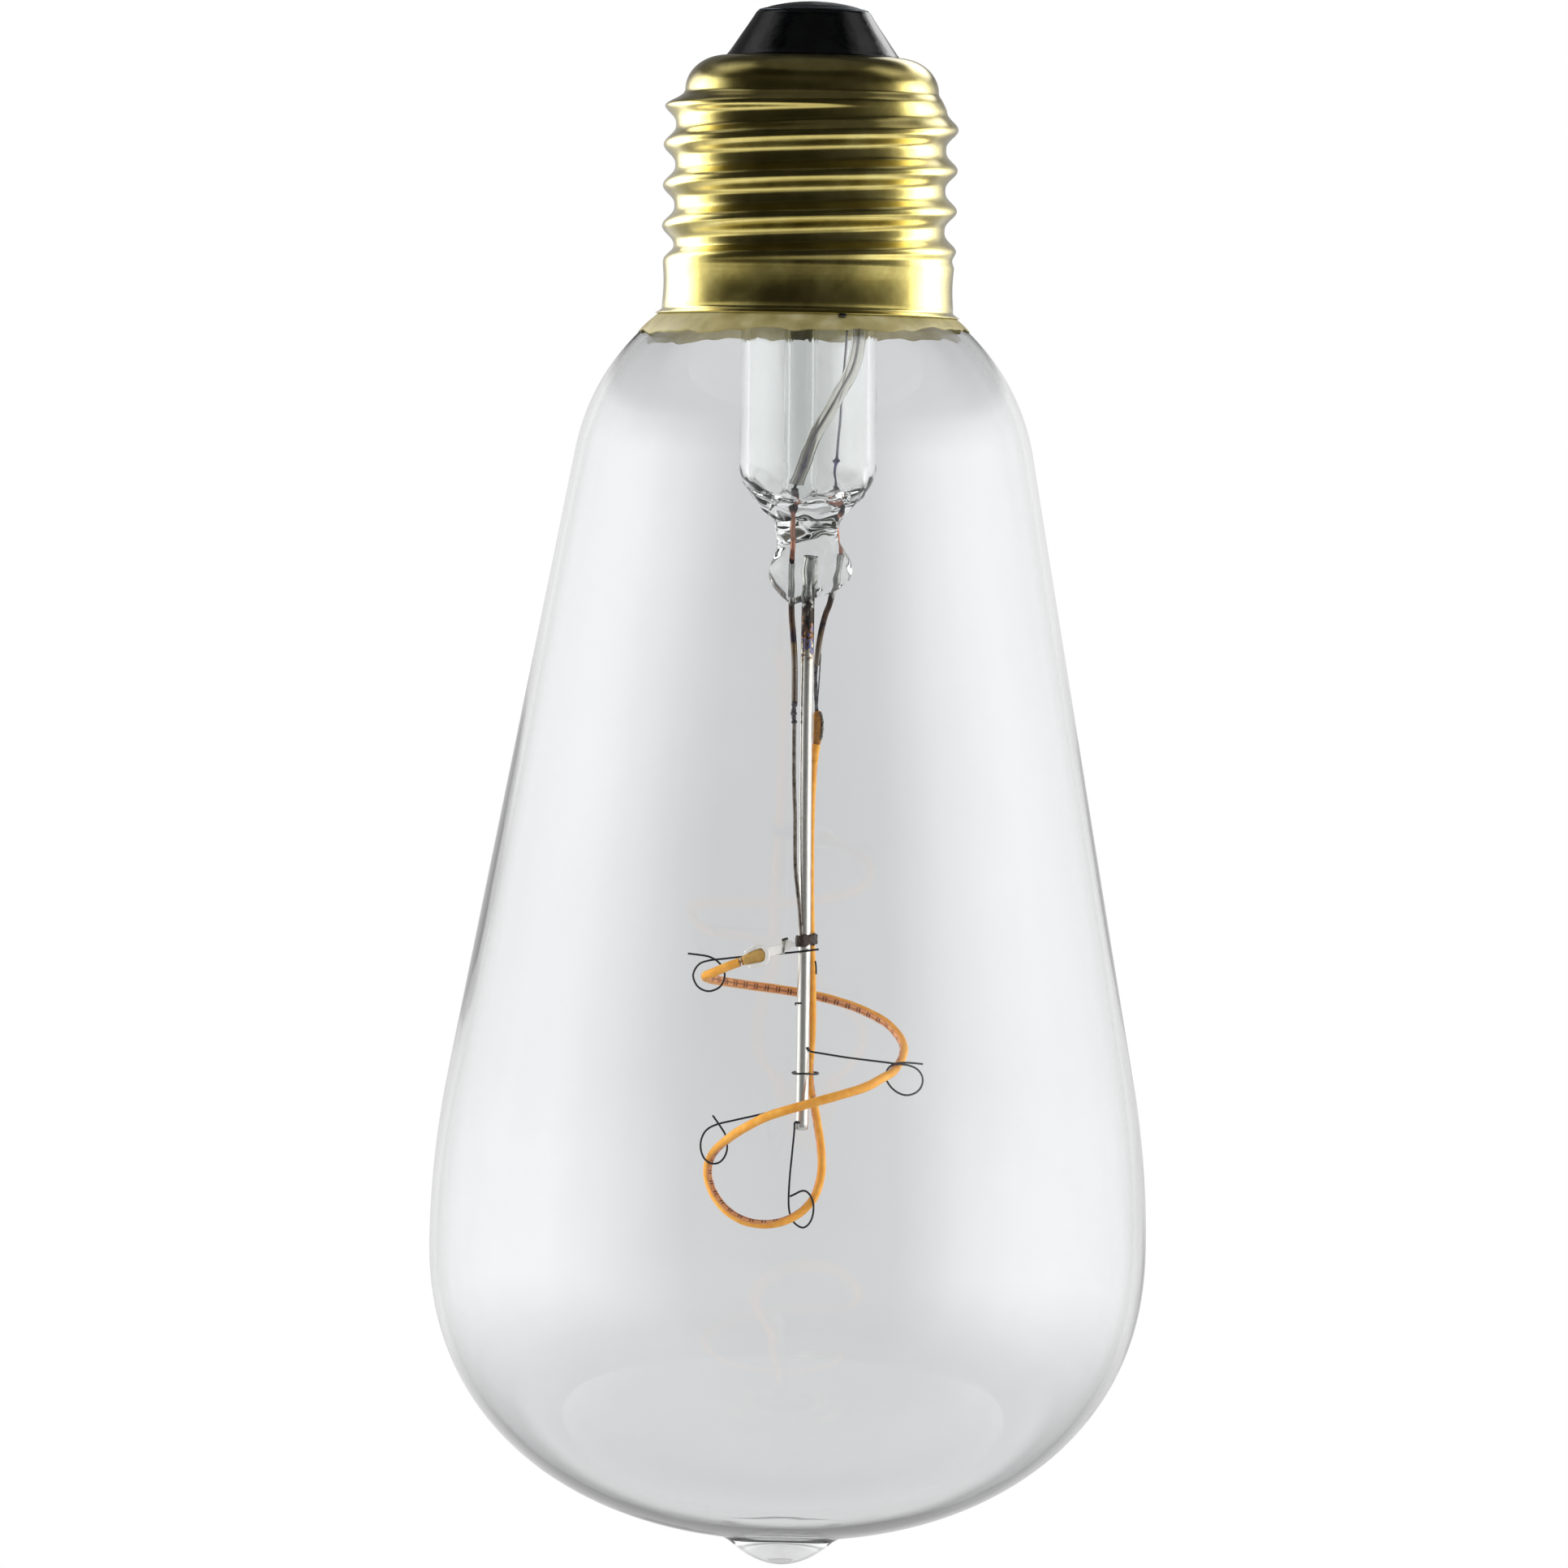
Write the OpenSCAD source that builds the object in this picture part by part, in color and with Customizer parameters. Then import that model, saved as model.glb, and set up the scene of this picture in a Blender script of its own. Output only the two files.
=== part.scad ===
// Clear glass LED filament bulb with a 27 mm screw cap, drawn cap up.
// Millimetres. The origin is the tip of the end contact, and the bulb hangs below it along -Z.
// The front, -Y, is the side from which the filament's loops read as a long S.

/* [Glass bulb] */
// Widest diameter of the glass
bulb_d = 64; // [60:0.5:68]
// Height of the widest glass below the contact tip
belly_drop = 110.9; // [108:0.1:116]
// Depth of the rounded crown below the widest glass
crown_depth = 26.5; // [24:0.5:30]
// Squareness of the crown, where 2 is an ellipse
crown_power = 2.18; // [2:0.02:2.6]
// Half angle of the long cone
cone_angle = 10.3; // [9.5:0.1:11]
// Radius of the curve between the cone and the belly
belly_r = 82; // [70:1:95]
// Radius of the shoulder under the cap
shoulder_r = 19.9; // [18:0.1:21]
// Wall of the blown glass
glass_t = 0.9; // [0.6:0.1:1.2]
// Length of the neck inside the cap, above the seat on the rim
neck_l = 13.6; // [12.5:0.1:14]
// Height of the drop at the crown
drop_h = 2.15; // [1:0.05:3]
// Diameter of the drop at the crown
drop_d = 10; // [8:0.5:12]

/* [Screw cap] */
// Major diameter of the thread, over its crests
thread_d = 26.3; // [26.15:0.05:26.45]
// Depth of the thread from crest to root
thread_depth = 1.07; // [0.9:0.01:1.2]
// Pitch of the thread, seven turns to the inch
thread_pitch = 3.629; // [3.4:0.001:3.8]
// How far the plain skirt lies inside the thread's crests
skirt_inset = 0.15; // [0.05:0.01:0.25]
// Height of the plain skirt above the rim
skirt_h = 3.9; // [3.5:0.1:4.2]
// Drop of the rim's lower edge below the contact tip
rim_drop = 28.05; // [27.8:0.05:28.4]
// How far the rim stands out past the skirt
rim_flare = 0.6; // [0.4:0.05:0.8]
// Height of the rim
rim_h = 0.5; // [0.4:0.05:0.7]
// Thickness of the rolled brass
brass_t = 0.4; // [0.35:0.01:0.45]
// Drop of the brass shoulder's upper edge below the contact tip
shoulder_drop = 4.95; // [4.8:0.05:5.2]
// Height of the rounded brass shoulder
shoulder_h = 3.1; // [2.8:0.1:3.3]

/* [End contact] */
// Diameter of the end contact
contact_d = 9.8; // [9:0.1:10.4]
// Height of the end contact
contact_h = 0.8; // [0.6:0.05:1]
// Diameter of the eyelet that the lead is soldered in
eyelet_d = 2.4; // [2:0.1:3]
// Diameter of the insulator where it meets the brass
insulator_d = 15.5; // [15:0.1:16]
// Depth of the insulator's flange inside the brass
flange_h = 1.6; // [1.2:0.1:1.8]

/* [Driver] */
// Thickness of the circuit board
board_t = 1; // [0.8:0.1:1.2]
// Diameter of the smoothing capacitor
capacitor_d = 5; // [4:0.5:5.5]
// Height of the smoothing capacitor
capacitor_h = 4.6; // [3.5:0.1:5]
// Side of the bridge rectifier
rectifier_w = 4; // [3:0.5:4.5]
// Height of the bridge rectifier
rectifier_h = 1.6; // [1:0.1:2.4]
// Length of the driver chip
chip_l = 4.9; // [4:0.1:5.2]
// Length of the fusible resistor
fuse_l = 4.2; // [3.5:0.1:4.6]
// Diameter of the fusible resistor
fuse_d = 1.9; // [1.5:0.1:2.2]

/* [Stem] */
// Outer diameter of the stem's wide tube
flare_d = 12.2; // [11.6:0.1:12.6]
// Wall of the stem's wide tube
flare_t = 0.8; // [0.6:0.05:1]
// Drop of the wide tube's closed end below the contact tip
stem_drop = 46.5; // [46:0.1:47]
// Outer diameter of the exhaust tube
exhaust_d = 3; // [2.6:0.1:3.1]
// Wall of the exhaust tube
exhaust_t = 0.5; // [0.35:0.05:0.6]
// Thickness of the pinch, front to back
pinch_t = 3.6; // [3.4:0.1:4]

/* [Wires] */
// Diameter of the support rod
rod_d = 1.16; // [1.05:0.01:1.2]
// Drop of the rod's lower end below the contact tip
rod_drop = 100.75; // [100.3:0.05:102]
// Diameter of the outer leads
outer_lead_d = 0.26; // [0.2:0.02:0.3]
// Diameter of the sleeve on the first outer lead
sleeve_d = 1.2; // [1:0.05:1.3]
// Diameter of the wires sealed in the glass
seal_wire_d = 0.44; // [0.36:0.02:0.5]
// Diameter of the stiff inner leads
inner_lead_d = 0.54; // [0.46:0.02:0.58]
// Diameter of the lower lead
lower_lead_d = 0.36; // [0.3:0.02:0.4]
// Diameter of the hook wire
hook_d = 0.18; // [0.14:0.01:0.2]

/* [Filament] */
// Diameter of the silicone strip
filament_d = 0.8; // [0.7:0.02:0.84]
// Diameter of the strip's moulded ends
filament_end_d = 0.86; // [0.84:0.02:0.92]

/* [Hidden] */

$fn = 64;

// Running clearances
glass_fit = 0.02;  // between a wire and the glass that holds it
wire_fit = 0.03;   // between a wire and what it lies on
seat_gap = 0.05;   // between the glass and the brass rim

// Screw cap, worked out
crest_r = thread_d / 2;
root_r = crest_r - thread_depth;
skirt_r = crest_r - skirt_inset;
skirt_in_r = skirt_r - brass_t;
rim_r = skirt_r + rim_flare;
skirt_top = -rim_drop + rim_h + skirt_h;
thread_top = -shoulder_drop - shoulder_h;
thread_h = thread_top - skirt_top;
shoulder_step = 0.75;  // from the thread's root in to the shoulder
shoulder_out_r = root_r - shoulder_step;
thread_sides = 40;
levels_per_turn = 7;
thread_levels = round(thread_h / thread_pitch * levels_per_turn);
thread_fade = 0.45;  // share of a turn over which the crest rises out of the plain metal
thread_start = 152;  // the crest leaves the skirt this many degrees before the right side
crest_power = 1.5;   // narrower crests than roots
inset = 0.06;        // the thread's faceted ends lie this far inside the round metal
thread_thinning = 0.16;  // the rolled thread is this much thinner than the plain brass

// End contact, worked out
contact_r = contact_d / 2;
eyelet_r = eyelet_d / 2;
solder_edge = 0.3;
solder_flat_r = eyelet_r - solder_edge;
solder_chamfer = 0.15;
solder_h = 0.8;        // how far the solder fills the eyelet below the contact
insulator_r = insulator_d / 2;
insulator_lip = 0.1;
insulator_bevel = 0.4;
flange_w = 2;          // how far the flange reaches out under the brass
flange_r = insulator_r + flange_w;
flange_sink = 0.6;     // how far the flange reaches below the brass shoulder's edge
flange_z = -shoulder_drop - flange_h - flange_sink;
hollow_w = 2;          // room round the eyelet, under the insulator
hollow_rise = 1.4;
hollow_r = eyelet_r + hollow_w;
hollow_z = -shoulder_drop + hollow_rise;

// Glass, worked out
bulb_r = bulb_d / 2;
seat_r = skirt_r + seat_gap;
seat_z = -rim_drop;
neck_gap = 0.5;        // cement between the neck and the thread's inside
neck_r = root_r - brass_t - neck_gap;
neck_fillet = 1.2;
neck_top = seat_z + neck_l;
belly_z = -belly_drop;
cone_corner = belly_r * tan(cone_angle / 2);
cone_z = belly_z + cone_corner;
drop_r = drop_d / 2;

// Driver, worked out
board_gap = 0.2;
board_r = neck_r - board_gap;
board_top = neck_top + board_t;
// Where the parts stand on the board, as shares of its radius
rectifier_at = [-0.41, 0.31];
capacitor_at = [0.4, 0.33];
chip_at = [-0.5, -0.18];
fuse_at = [0.33, -0.4];
chip_w = 3.9;
chip_h = 1.5;

// Stem, worked out
flare_r = flare_d / 2;
stem_z = -stem_drop;
flare_lip_h = 1;
flare_top = neck_top - board_gap;
flare_curve_h = 10;    // height over which the flare narrows to the tube
close_h = 5;           // height over which the tube closes above the pinch
close_power = 2.45;
floor_h = 3.6;
stem_throat_r = 2.9;
floor_t = 1.7;         // glass between the tube's inside and its closed end
floor_power = 0.8;
stem_floor_z = stem_z + floor_t;
stem_lean = 0.75;      // the stem was set a little off the bulb's axis
exhaust_r = exhaust_d / 2;
exhaust_x = -0.7;
exhaust_short = 4.5;   // how far the exhaust tube stops below the neck's top
exhaust_gap = 0.24;
exhaust_top = neck_top - exhaust_short;
exhaust_foot = stem_floor_z + exhaust_gap;
pinch_half = pinch_t / 2;

// Wire radii
rod_r = rod_d / 2;
outer_lead_r = outer_lead_d / 2;
sleeve_r = sleeve_d / 2;
sleeve_t = 0.2;
sleeve_bore_r = sleeve_r - sleeve_t;
seal_wire_r = seal_wire_d / 2;
inner_lead_r = inner_lead_d / 2;
lower_lead_r = lower_lead_d / 2;
hook_r = hook_d / 2;
filament_r = filament_d / 2;
filament_end_r = filament_end_d / 2;

// How far above the stem's closed end the crimps sit, and how far below it the wires,
// the rod and the narrow waist of the pinch have their ends
seal_up = 2.7;
seal_a_down = 3.7;
seal_b_down = 2.9;
inner_a_down = 7.9;
inner_b_down = 6.8;
rod_down = 3;
waist_down = 2.7;

// The rod leans slightly: its axis passes through these two points
rod_top = [0.7, 0, stem_z - rod_down];
rod_foot = [1, 0, -rod_drop];

// Where the wires meet: down from the cap to the filament
seal_a_top = [-0.7, -1.95, stem_z + seal_up];
seal_a_foot = [-0.8, -0.9, stem_z - seal_a_down];
seal_b_top = [2.65, -0.3, stem_z + seal_up];
seal_b_foot = [3.35, -0.2, stem_z - seal_b_down];

outer_a_route = [
    seal_a_top, [-0.45, -2, -42.8], [-0.05, -2.1, -41.6], [0.35, -2.2, -40.2],
    [1, -2.2, -38.5], [2, -2.1, -36.7], [3, -1.8, -34.8], [4, -1.4, -32.8],
    [4.5, -1.1, -30.6], [4.6, -1, -28], [4.6, -1, -24], [4.6, -1, -19], [4.6, -1, neck_top]
];
outer_b_route = [
    seal_b_top, [2.75, -0.3, -42.6], [2.85, -0.1, -41], [2.95, 0, -39.4], [3.1, 0.1, -37.4],
    [3.3, 0.4, -34], [3.6, 0.8, -30], [3.8, 1.2, -24], [3.8, 1.2, -19], [3.8, 1.2, neck_top]
];
sleeve_first = 1;      // the sleeve covers the route from this point
sleeve_last = 9;       // to this one

inner_a_out = [-0.75, -0.7, stem_z - inner_a_down];
inner_a_foot = [-0.28, -0.4, -62.7];
inner_a_route = [
    seal_a_foot, inner_a_out, [-0.55, -0.6, -56.5], [-0.36, -0.5, -59], inner_a_foot
];
inner_b_out = [2.75, 0, stem_z - inner_b_down];
inner_b_route = [
    seal_b_foot, inner_b_out, [2.3, 0.2, -54.7], [2, 0.4, -56], [1.78, 0.6, -57.4],
    [1.65, 0.8, -58.8]
];
lower_a_top = [-0.28, -0.4, -64.4];
lower_a_foot = [0.64, -0.88, -84.3];
lower_a_route = [
    lower_a_top, [-0.26, -0.4, -67], [-0.2, -0.42, -70], [-0.08, -0.5, -73],
    [-0.05, -0.55, -75.5], [0.02, -0.65, -77.5], [0.25, -0.75, -79.5], [0.48, -0.82, -81.5],
    [0.62, -0.86, -83.4], lower_a_foot
];

// The collar is wrapped round the rod, the lower lead's foot and the filament together
collar_h = 1;
collar_t = 0.2;
collar_foot_gap = 0.1;  // the lead ends this far above the collar's lower edge
collar_top = lower_a_foot.z + collar_h - collar_foot_gap;

// The filament: down beside the rod, round the lower loop, across the front, and back behind
filament_top = [1.75, 0.9, -66.3];
filament_foot = [-4.5, -1.8, -85.85];
run_at_collar = [1.46, 0.9, -83.5];
run_foot = [1.57, 0.9, -95.3];
filament_route = [
    filament_top, [1.52, 0.92, -68], [1.4, 0.92, -70], [1.34, 0.93, -73], [1.33, 0.93, -76],
    [1.37, 0.93, -80], run_at_collar, [1.6, 0.88, -87], [1.7, 0.88, -90.5],
    [1.67, 0.9, -93], run_foot, [1.7, 0.93, -97], [2.1, 0.95, -98.7], [2.45, 0.95, -100.5],
    [2.75, 0.9, -102.3],
    [2.85, 0.7, -104.4], [2.4, 0.5, -106.4], [1.5, 0.1, -107.7], [0.4, -0.4, -108.5],
    [-0.9, -0.8, -109], [-2.4, -1, -109.15], [-4, -0.9, -108.85], [-5.5, -0.5, -108],
    [-6.6, 0.1, -106.7], [-7.2, 0.6, -105.2], [-7.2, 0.6, -103.9], [-6.7, 0.1, -102.8],
    [-5.7, -1.3, -101.8], [-4.2, -3.2, -100.7], [-2, -5.2, -99.5], [1, -6.4, -98.5],
    [4, -6, -97.6], [6.5, -4.4, -96.8], [8, -2.2, -96], [8.9, -0.6, -95.5],
    [9.4, 0.6, -94.9], [9.8, 1.6, -94.2], [9.95, 2.7, -93.2], [9.4, 4.1, -92.1],
    [8.2, 5.4, -91], [6, 6.4, -89.95], [3.5, 6.8, -89.2], [1, 6.7, -88.7], [-1.5, 6.2, -88.35],
    [-4, 5.1, -88.05], [-6.2, 3.5, -87.75], [-7.5, 1.7, -87.5], [-7.8, 0.3, -87.25],
    [-7, -0.8, -86.9], [-5.8, -1.5, -86.35], filament_foot
];
upper_end_route = [[1.82, 0.85, -63.4], [1.86, 0.85, -64.2], [1.86, 0.87, -65.4], filament_top];
tab_route = [[1.57, 0.85, -58.9], [1.57, 0.85, -61], [1.7, 0.85, -63.35]];
tab_w = 0.28;
tab_t = 0.12;
tab_leg_route = [[1.95, 0.85, -58.3], [1.9, 0.85, -60], [1.76, 0.85, -62.6]];
tab_leg_w = 0.12;

// The filament's lower end is a flat club, and a bright strip is bent round it like a horseshoe
club_at = [-3.2, -1.92, -85.35];
club_r = 0.68;
club_depth = 0.9;
clip_route = [
    [-4.36, -1.86, -85.13], [-3.75, -1.9, -84.77], [-3.39, -1.92, -84.57], [-2.8, -1.94, -84.66],
    [-2.45, -1.95, -85.08], [-2.45, -1.95, -85.62], [-2.8, -1.94, -86.04], [-3.42, -1.9, -86.18],
    [-3.97, -1.86, -86.33]
];
clip_w = 0.9;
clip_t = 0.2;
strap_route = [
    [0.05, -0.75, -84.25], [-0.5, -0.85, -84.35], [-1, -1, -84.6],
    [-1.6, -1.45, -84.8], [-2.33, -1.93, -84.98]
];
strap_w = 0.85;
strap_t = 0.12;
fold_at = [-1, -0.98, -84.45];
fold_size = [0.55, 0.2, 1.4];

hook_upper_left_route = [
    [2.2, -0.6, -84.65], [0.9, -0.72, -84.85], [-1, -0.5, -85.1], [-3, -0.2, -85.35],
    [-4.6, 0, -85.5], [-6.2, 0.15, -85.7], [-7.5, 0.2, -85.88], [-8.4, 0.3, -86.25],
    [-8.88, 0.3, -87.2], [-8.45, 0.35, -88.2], [-7.5, 0.4, -88.62], [-6.5, 0.4, -88.2],
    [-6.1, 0.45, -87.3], [-6.3, 0.5, -86.5], [-6.8, 0.55, -85.92], [-7.5, 0.55, -85.55],
    [-8.4, 0.5, -85.4], [-9.4, 0.5, -85.3]
];
hook_right_route = [
    [1.36, -0.58, -93.4], [1.65, -0.3, -93.75], [2.5, -0.05, -93.9], [5, 0, -94.25],
    [8, -0.05, -94.55], [9.4, -0.15, -94.7], [10.4, -0.1, -94.8], [11.2, 0, -95.15],
    [11.65, 0, -95.8], [11.6, 0, -96.6], [11.1, 0, -97.2], [10.3, 0, -97.45],
    [9.5, 0, -97.25], [8.8, 0, -96.7], [8.4, 0.05, -96], [8.5, 0.1, -95.25],
    [8.95, 0.15, -94.8], [9.6, 0.15, -94.6], [10.4, 0.15, -94.57], [11.7, 0.15, -94.65]
];
hook_lower_left_route = [
    [0.28, 0, -98.65], [-1, 0, -99], [-3, 0, -99.5], [-5, 0, -100], [-6.5, 0, -100.4],
    [-7.4, 0, -100.9], [-7.85, 0, -101.7], [-7.9, 0, -102.6], [-7.6, 0, -103.4],
    [-7, 0, -103.85], [-6.3, 0, -103.8], [-5.8, 0, -103.3], [-5.55, 0.05, -102.5],
    [-5.7, 0.15, -101.4], [-6.1, 0.25, -100.7], [-6.9, 0.3, -99.6]
];
hook_bottom_route = [
    [0.8, -0.67, -100.1], [0.42, -0.45, -100.05], [0.35, -0.35, -101], [0.2, -0.3, -103],
    [0.05, -0.2, -105], [0, 0, -107], [0.12, 0.25, -108.1], [0.45, 0.35, -108.85],
    [0.9, 0.3, -109.25], [1.4, 0.2, -109.4], [1.9, 0, -109], [2.2, -0.15, -108.2],
    [2.2, -0.2, -107.2], [1.9, -0.25, -106.5], [1.5, -0.25, -106.15], [1.1, -0.25, -106.15],
    [0.6, -0.27, -106.4], [0.1, -0.3, -106.65]
];
tie_z = run_foot.z - 0.4;
tie_tilt = 4;

// The side lead runs down the neck in one radial plane, to the weld on the rim
lead_turn = -77;
lead_off = 0.2;        // from the glass to the middle of the side lead
skirt_margin = 0.25;   // from the skirt's inside to the side lead and the cement's edge
weld_r = 0.4;
weld_out = 0.25;       // the weld's middle lies this far outside the rim
shell_lead_r = 0.15;
cement_rise = 6;
slot_w = 0.6;
slot_angle = slot_w / neck_r * 180 / PI;
contact_lead_r = 0.2;

// Points on a circle arc of radius r about [x, z], from angle a to angle b
function arc(x, z, r, a, b, n) =
    [for (i = [0:n]) [x + r * cos(a + (b - a) * i / n), z + r * sin(a + (b - a) * i / n)]];

function unit(v) = v / norm(v);
function reversed(p) = [for (i = [len(p) - 1:-1:0]) p[i]];
function last(p) = p[len(p) - 1];

// A smooth curve through all points of p, with k steps from each point to the next
function between(a, b, c, d, t) =
    0.5 * (2 * b + (c - a) * t + (2 * a - 5 * b + 4 * c - d) * t * t
    + (3 * b - a - 3 * c + d) * t * t * t);
function smooth(p, k) = let (n = len(p) - 1)
    [for (i = [0:n - 1], j = [0:k - 1])
        between(p[max(i - 1, 0)], p[i], p[i + 1], p[min(i + 2, n)], j / k), p[n]];

// Direction of travel at point i, and the side directions carried along without twist
function heading(p, i) = unit(p[min(i + 1, len(p) - 1)] - p[max(i - 1, 0)]);
function square_to(v, t) = unit(v - (v * t) * t);
function first_side(t) = square_to(abs(t.z) < 0.9 ? [0, 0, 1] : [1, 0, 0], t);
function sides(p) =
    [for (i = 0, s = first_side(heading(p, 0)); i < len(p);
        i = i + 1, s = i < len(p) ? square_to(s, heading(p, i)) : s) s];

// A closed tube with n sides along p, with half axes ra and rb across and its first side at angle a0
module tube(p, ra, rb, n, a0 = 0) {
    side = sides(p);
    rings = [for (i = [0:len(p) - 1]) let (u = side[i], v = cross(heading(p, i), u))
        for (a = [0:n - 1]) p[i] + ra * cos(a0 + 360 * a / n) * u + rb * sin(a0 + 360 * a / n) * v];
    walls = [for (i = [0:len(p) - 2], j = [0:n - 1]) let (k = (j + 1) % n)
        each [[i * n + j, (i + 1) * n + j, (i + 1) * n + k], [i * n + j, (i + 1) * n + k, i * n + k]]];
    start = [for (j = [0:n - 1]) j];
    end = [for (j = [n - 1:-1:0]) (len(p) - 1) * n + j];
    polyhedron(points = rings, faces = concat(walls, [start, end]), convexity = 6);
}

// A round wire through the points of a route
module wire(route, r, n = 6, k = 2) {
    tube(smooth(route, k), r, r, n);
}

// A flat strip of metal, t thick and w wide, with its thickness across the first side
module strip(route, t, w, k = 2) {
    tube(smooth(route, k), t / sqrt(2), w / sqrt(2), 4, 45);
}

// A straight round bar from a to b
module bar(a, b, r) {
    d = b - a;
    translate(a)
        rotate([0, acos(d.z / norm(d)), atan2(d.y, d.x)])
            cylinder(h = norm(d), r = r);
}

// Outline of the blown glass, moved inwards by t: neck, seat, shoulder, cone, belly, crown
cone_r0 = bulb_r;
cone_dir = [sin(cone_angle), -cos(cone_angle)];
cone_in = [-cos(cone_angle), -sin(cone_angle)];
cone_start = [cone_r0, cone_z];
shoulder_v = cone_start + shoulder_r * cone_in - [seat_r, seat_z];
shoulder_t = -(shoulder_v * cone_dir)
    + sqrt(pow(shoulder_v * cone_dir, 2) - shoulder_v * shoulder_v + pow(shoulder_r, 2));
shoulder_c = cone_start + shoulder_t * cone_dir + shoulder_r * cone_in;
fillet_x = neck_r + neck_fillet;
fillet_z = shoulder_c[1] + sqrt(pow(shoulder_r + neck_fillet, 2) - pow(fillet_x - shoulder_c[0], 2));
fillet_angle = atan2(fillet_z - shoulder_c[1], fillet_x - shoulder_c[0]);

function neck_curve(t) = concat(
    arc(fillet_x, fillet_z, neck_fillet + t, 180, 180 + fillet_angle, 4),
    arc(shoulder_c[0], shoulder_c[1], shoulder_r - t, fillet_angle, cone_angle, 10));
function belly_curve(t) = arc(bulb_r - belly_r, belly_z, belly_r - t, cone_angle, 0, 5);
function crown_point(t, a) = [
    (bulb_r - t) * pow(cos(a), 2 / crown_power),
    belly_z - (crown_depth - t) * pow(sin(a), 2 / crown_power)
];
function with_drop(p) = [p[0], p[1] - drop_h * max(0, 1 - pow(p[0] / drop_r, 2))];
crown_steps = 18;
crown_crowding = 1.25;  // points lie closer together towards the middle of the crown
function crown_angle(i) = 90 * (1 - pow(1 - i / crown_steps, crown_crowding));
function crown_curve(t, drop) = [for (i = [1:crown_steps - 1])
    let (p = crown_point(t, crown_angle(i))) drop ? with_drop(p) : p];

module glass_envelope() {
    outer = concat([[neck_r, neck_top]], neck_curve(0), belly_curve(0), crown_curve(0, true),
        [[0, belly_z - crown_depth - drop_h]]);
    inner = concat([[neck_r - glass_t, neck_top]], neck_curve(glass_t), belly_curve(glass_t),
        crown_curve(glass_t, false), [[0, belly_z - crown_depth + glass_t]]);
    color([0.85, 0.9, 0.9, 0.25])
        rotate_extrude()
            polygon(concat(outer, reversed(inner)));
}

// The rolled thread: a crest that winds round the sleeve, and fades out at both ends.
// A point's radius is the root's radius plus the crest's rise at that turn and height.
function rise(turn, z) = let (
    phase = (z - skirt_top) / thread_pitch - (turn + thread_start) / 360,
    wave = pow(0.5 + 0.5 * cos(360 * phase), crest_power)
) thread_depth * wave;
function fade(z) = let (
    up = (z - skirt_top) / (thread_fade * thread_pitch),
    down = (thread_top - z) / (thread_fade * thread_pitch)
) max(0, min(1, up)) * max(0, min(1, down));
function plain_r(z) = let (
    up = max(0, 1 - (z - skirt_top) / (thread_fade * thread_pitch)),
    down = max(0, 1 - (thread_top - z) / (thread_fade * thread_pitch))
) root_r + up * (skirt_r - inset - root_r) + down * (shoulder_out_r - inset - root_r);
function thread_r(turn, z) = plain_r(z) + fade(z) * rise(turn, z);

module thread_sleeve() {
    n = thread_sides;
    m = thread_levels;
    wall = brass_t - thread_thinning;
    turns = [for (j = [0:n - 1]) 360 * j / n];
    heights = [for (i = [0:m]) skirt_top + thread_h * i / m];
    outside = [for (z = heights, a = turns) let (r = thread_r(a, z)) [r * cos(a), r * sin(a), z]];
    inside = [for (z = heights, a = turns) let (r = thread_r(a, z) - wall) [r * cos(a), r * sin(a), z]];
    s = len(outside);
    skin = [for (i = [0:m - 1], j = [0:n - 1]) let (k = (j + 1) % n, a = i * n, b = a + n)
        each [[a + j, b + j, b + k], [a + j, b + k, a + k],
            [s + a + j, s + b + k, s + b + j], [s + a + j, s + a + k, s + b + k]]];
    ends = [for (j = [0:n - 1]) let (k = (j + 1) % n, b = m * n)
        each [[j, k, s + k], [j, s + k, s + j], [b + j, s + b + k, b + k], [b + j, s + b + j, s + b + k]]];
    polyhedron(points = concat(outside, inside), faces = concat(skin, ends), convexity = 8);
}

// The rounded brass shoulder, a quarter of an ellipse
shoulder_steps = 12;
function shoulder_arc(t, r_end) = [for (i = [0:shoulder_steps]) let (
    a = shoulder_out_r - insulator_r - t,
    b = shoulder_h - t,
    x = (r_end - insulator_r) * i / shoulder_steps
) [insulator_r + x, thread_top + b * sqrt(max(0, 1 - pow(x / a, 2)))]];

module screw_shell() {
    color([0.78, 0.68, 0.32])
        union() {
            rotate_extrude()
                polygon(concat(
                    shoulder_arc(0, shoulder_out_r),
                    reversed(shoulder_arc(brass_t, shoulder_out_r - brass_t))));
            thread_sleeve();
            rotate_extrude()
                polygon([
                    [skirt_in_r, skirt_top], [skirt_r, skirt_top], [skirt_r, -rim_drop + rim_h],
                    [rim_r, -rim_drop + rim_h / 4], [rim_r, -rim_drop],
                    [rim_r - brass_t, -rim_drop], [skirt_in_r, -rim_drop + rim_h]
                ]);
        }
}

module insulator() {
    color([0.05, 0.05, 0.06])
        rotate_extrude()
            polygon(concat(
                [[eyelet_r, -contact_h], [contact_r + insulator_lip, -contact_h],
                    [insulator_r, -shoulder_drop]],
                shoulder_arc(brass_t, flange_r),
                [[flange_r, flange_z], [hollow_r, flange_z], [hollow_r - insulator_bevel,
                    hollow_z - insulator_bevel], [eyelet_r, hollow_z]]));
}

module centre_contact() {
    dome_r = (contact_r * contact_r + contact_h * contact_h) / (2 * contact_h);
    color([0.3, 0.34, 0.38])
        rotate_extrude()
            difference() {
                intersection() {
                    translate([0, -dome_r])
                        circle(r = dome_r, $fn = 128);
                    translate([eyelet_r, -contact_h])
                        square([contact_r - eyelet_r, contact_h]);
                }
                translate([0, -2 * contact_h])
                    square([eyelet_r, 2 * contact_h]);
            }
}

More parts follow.
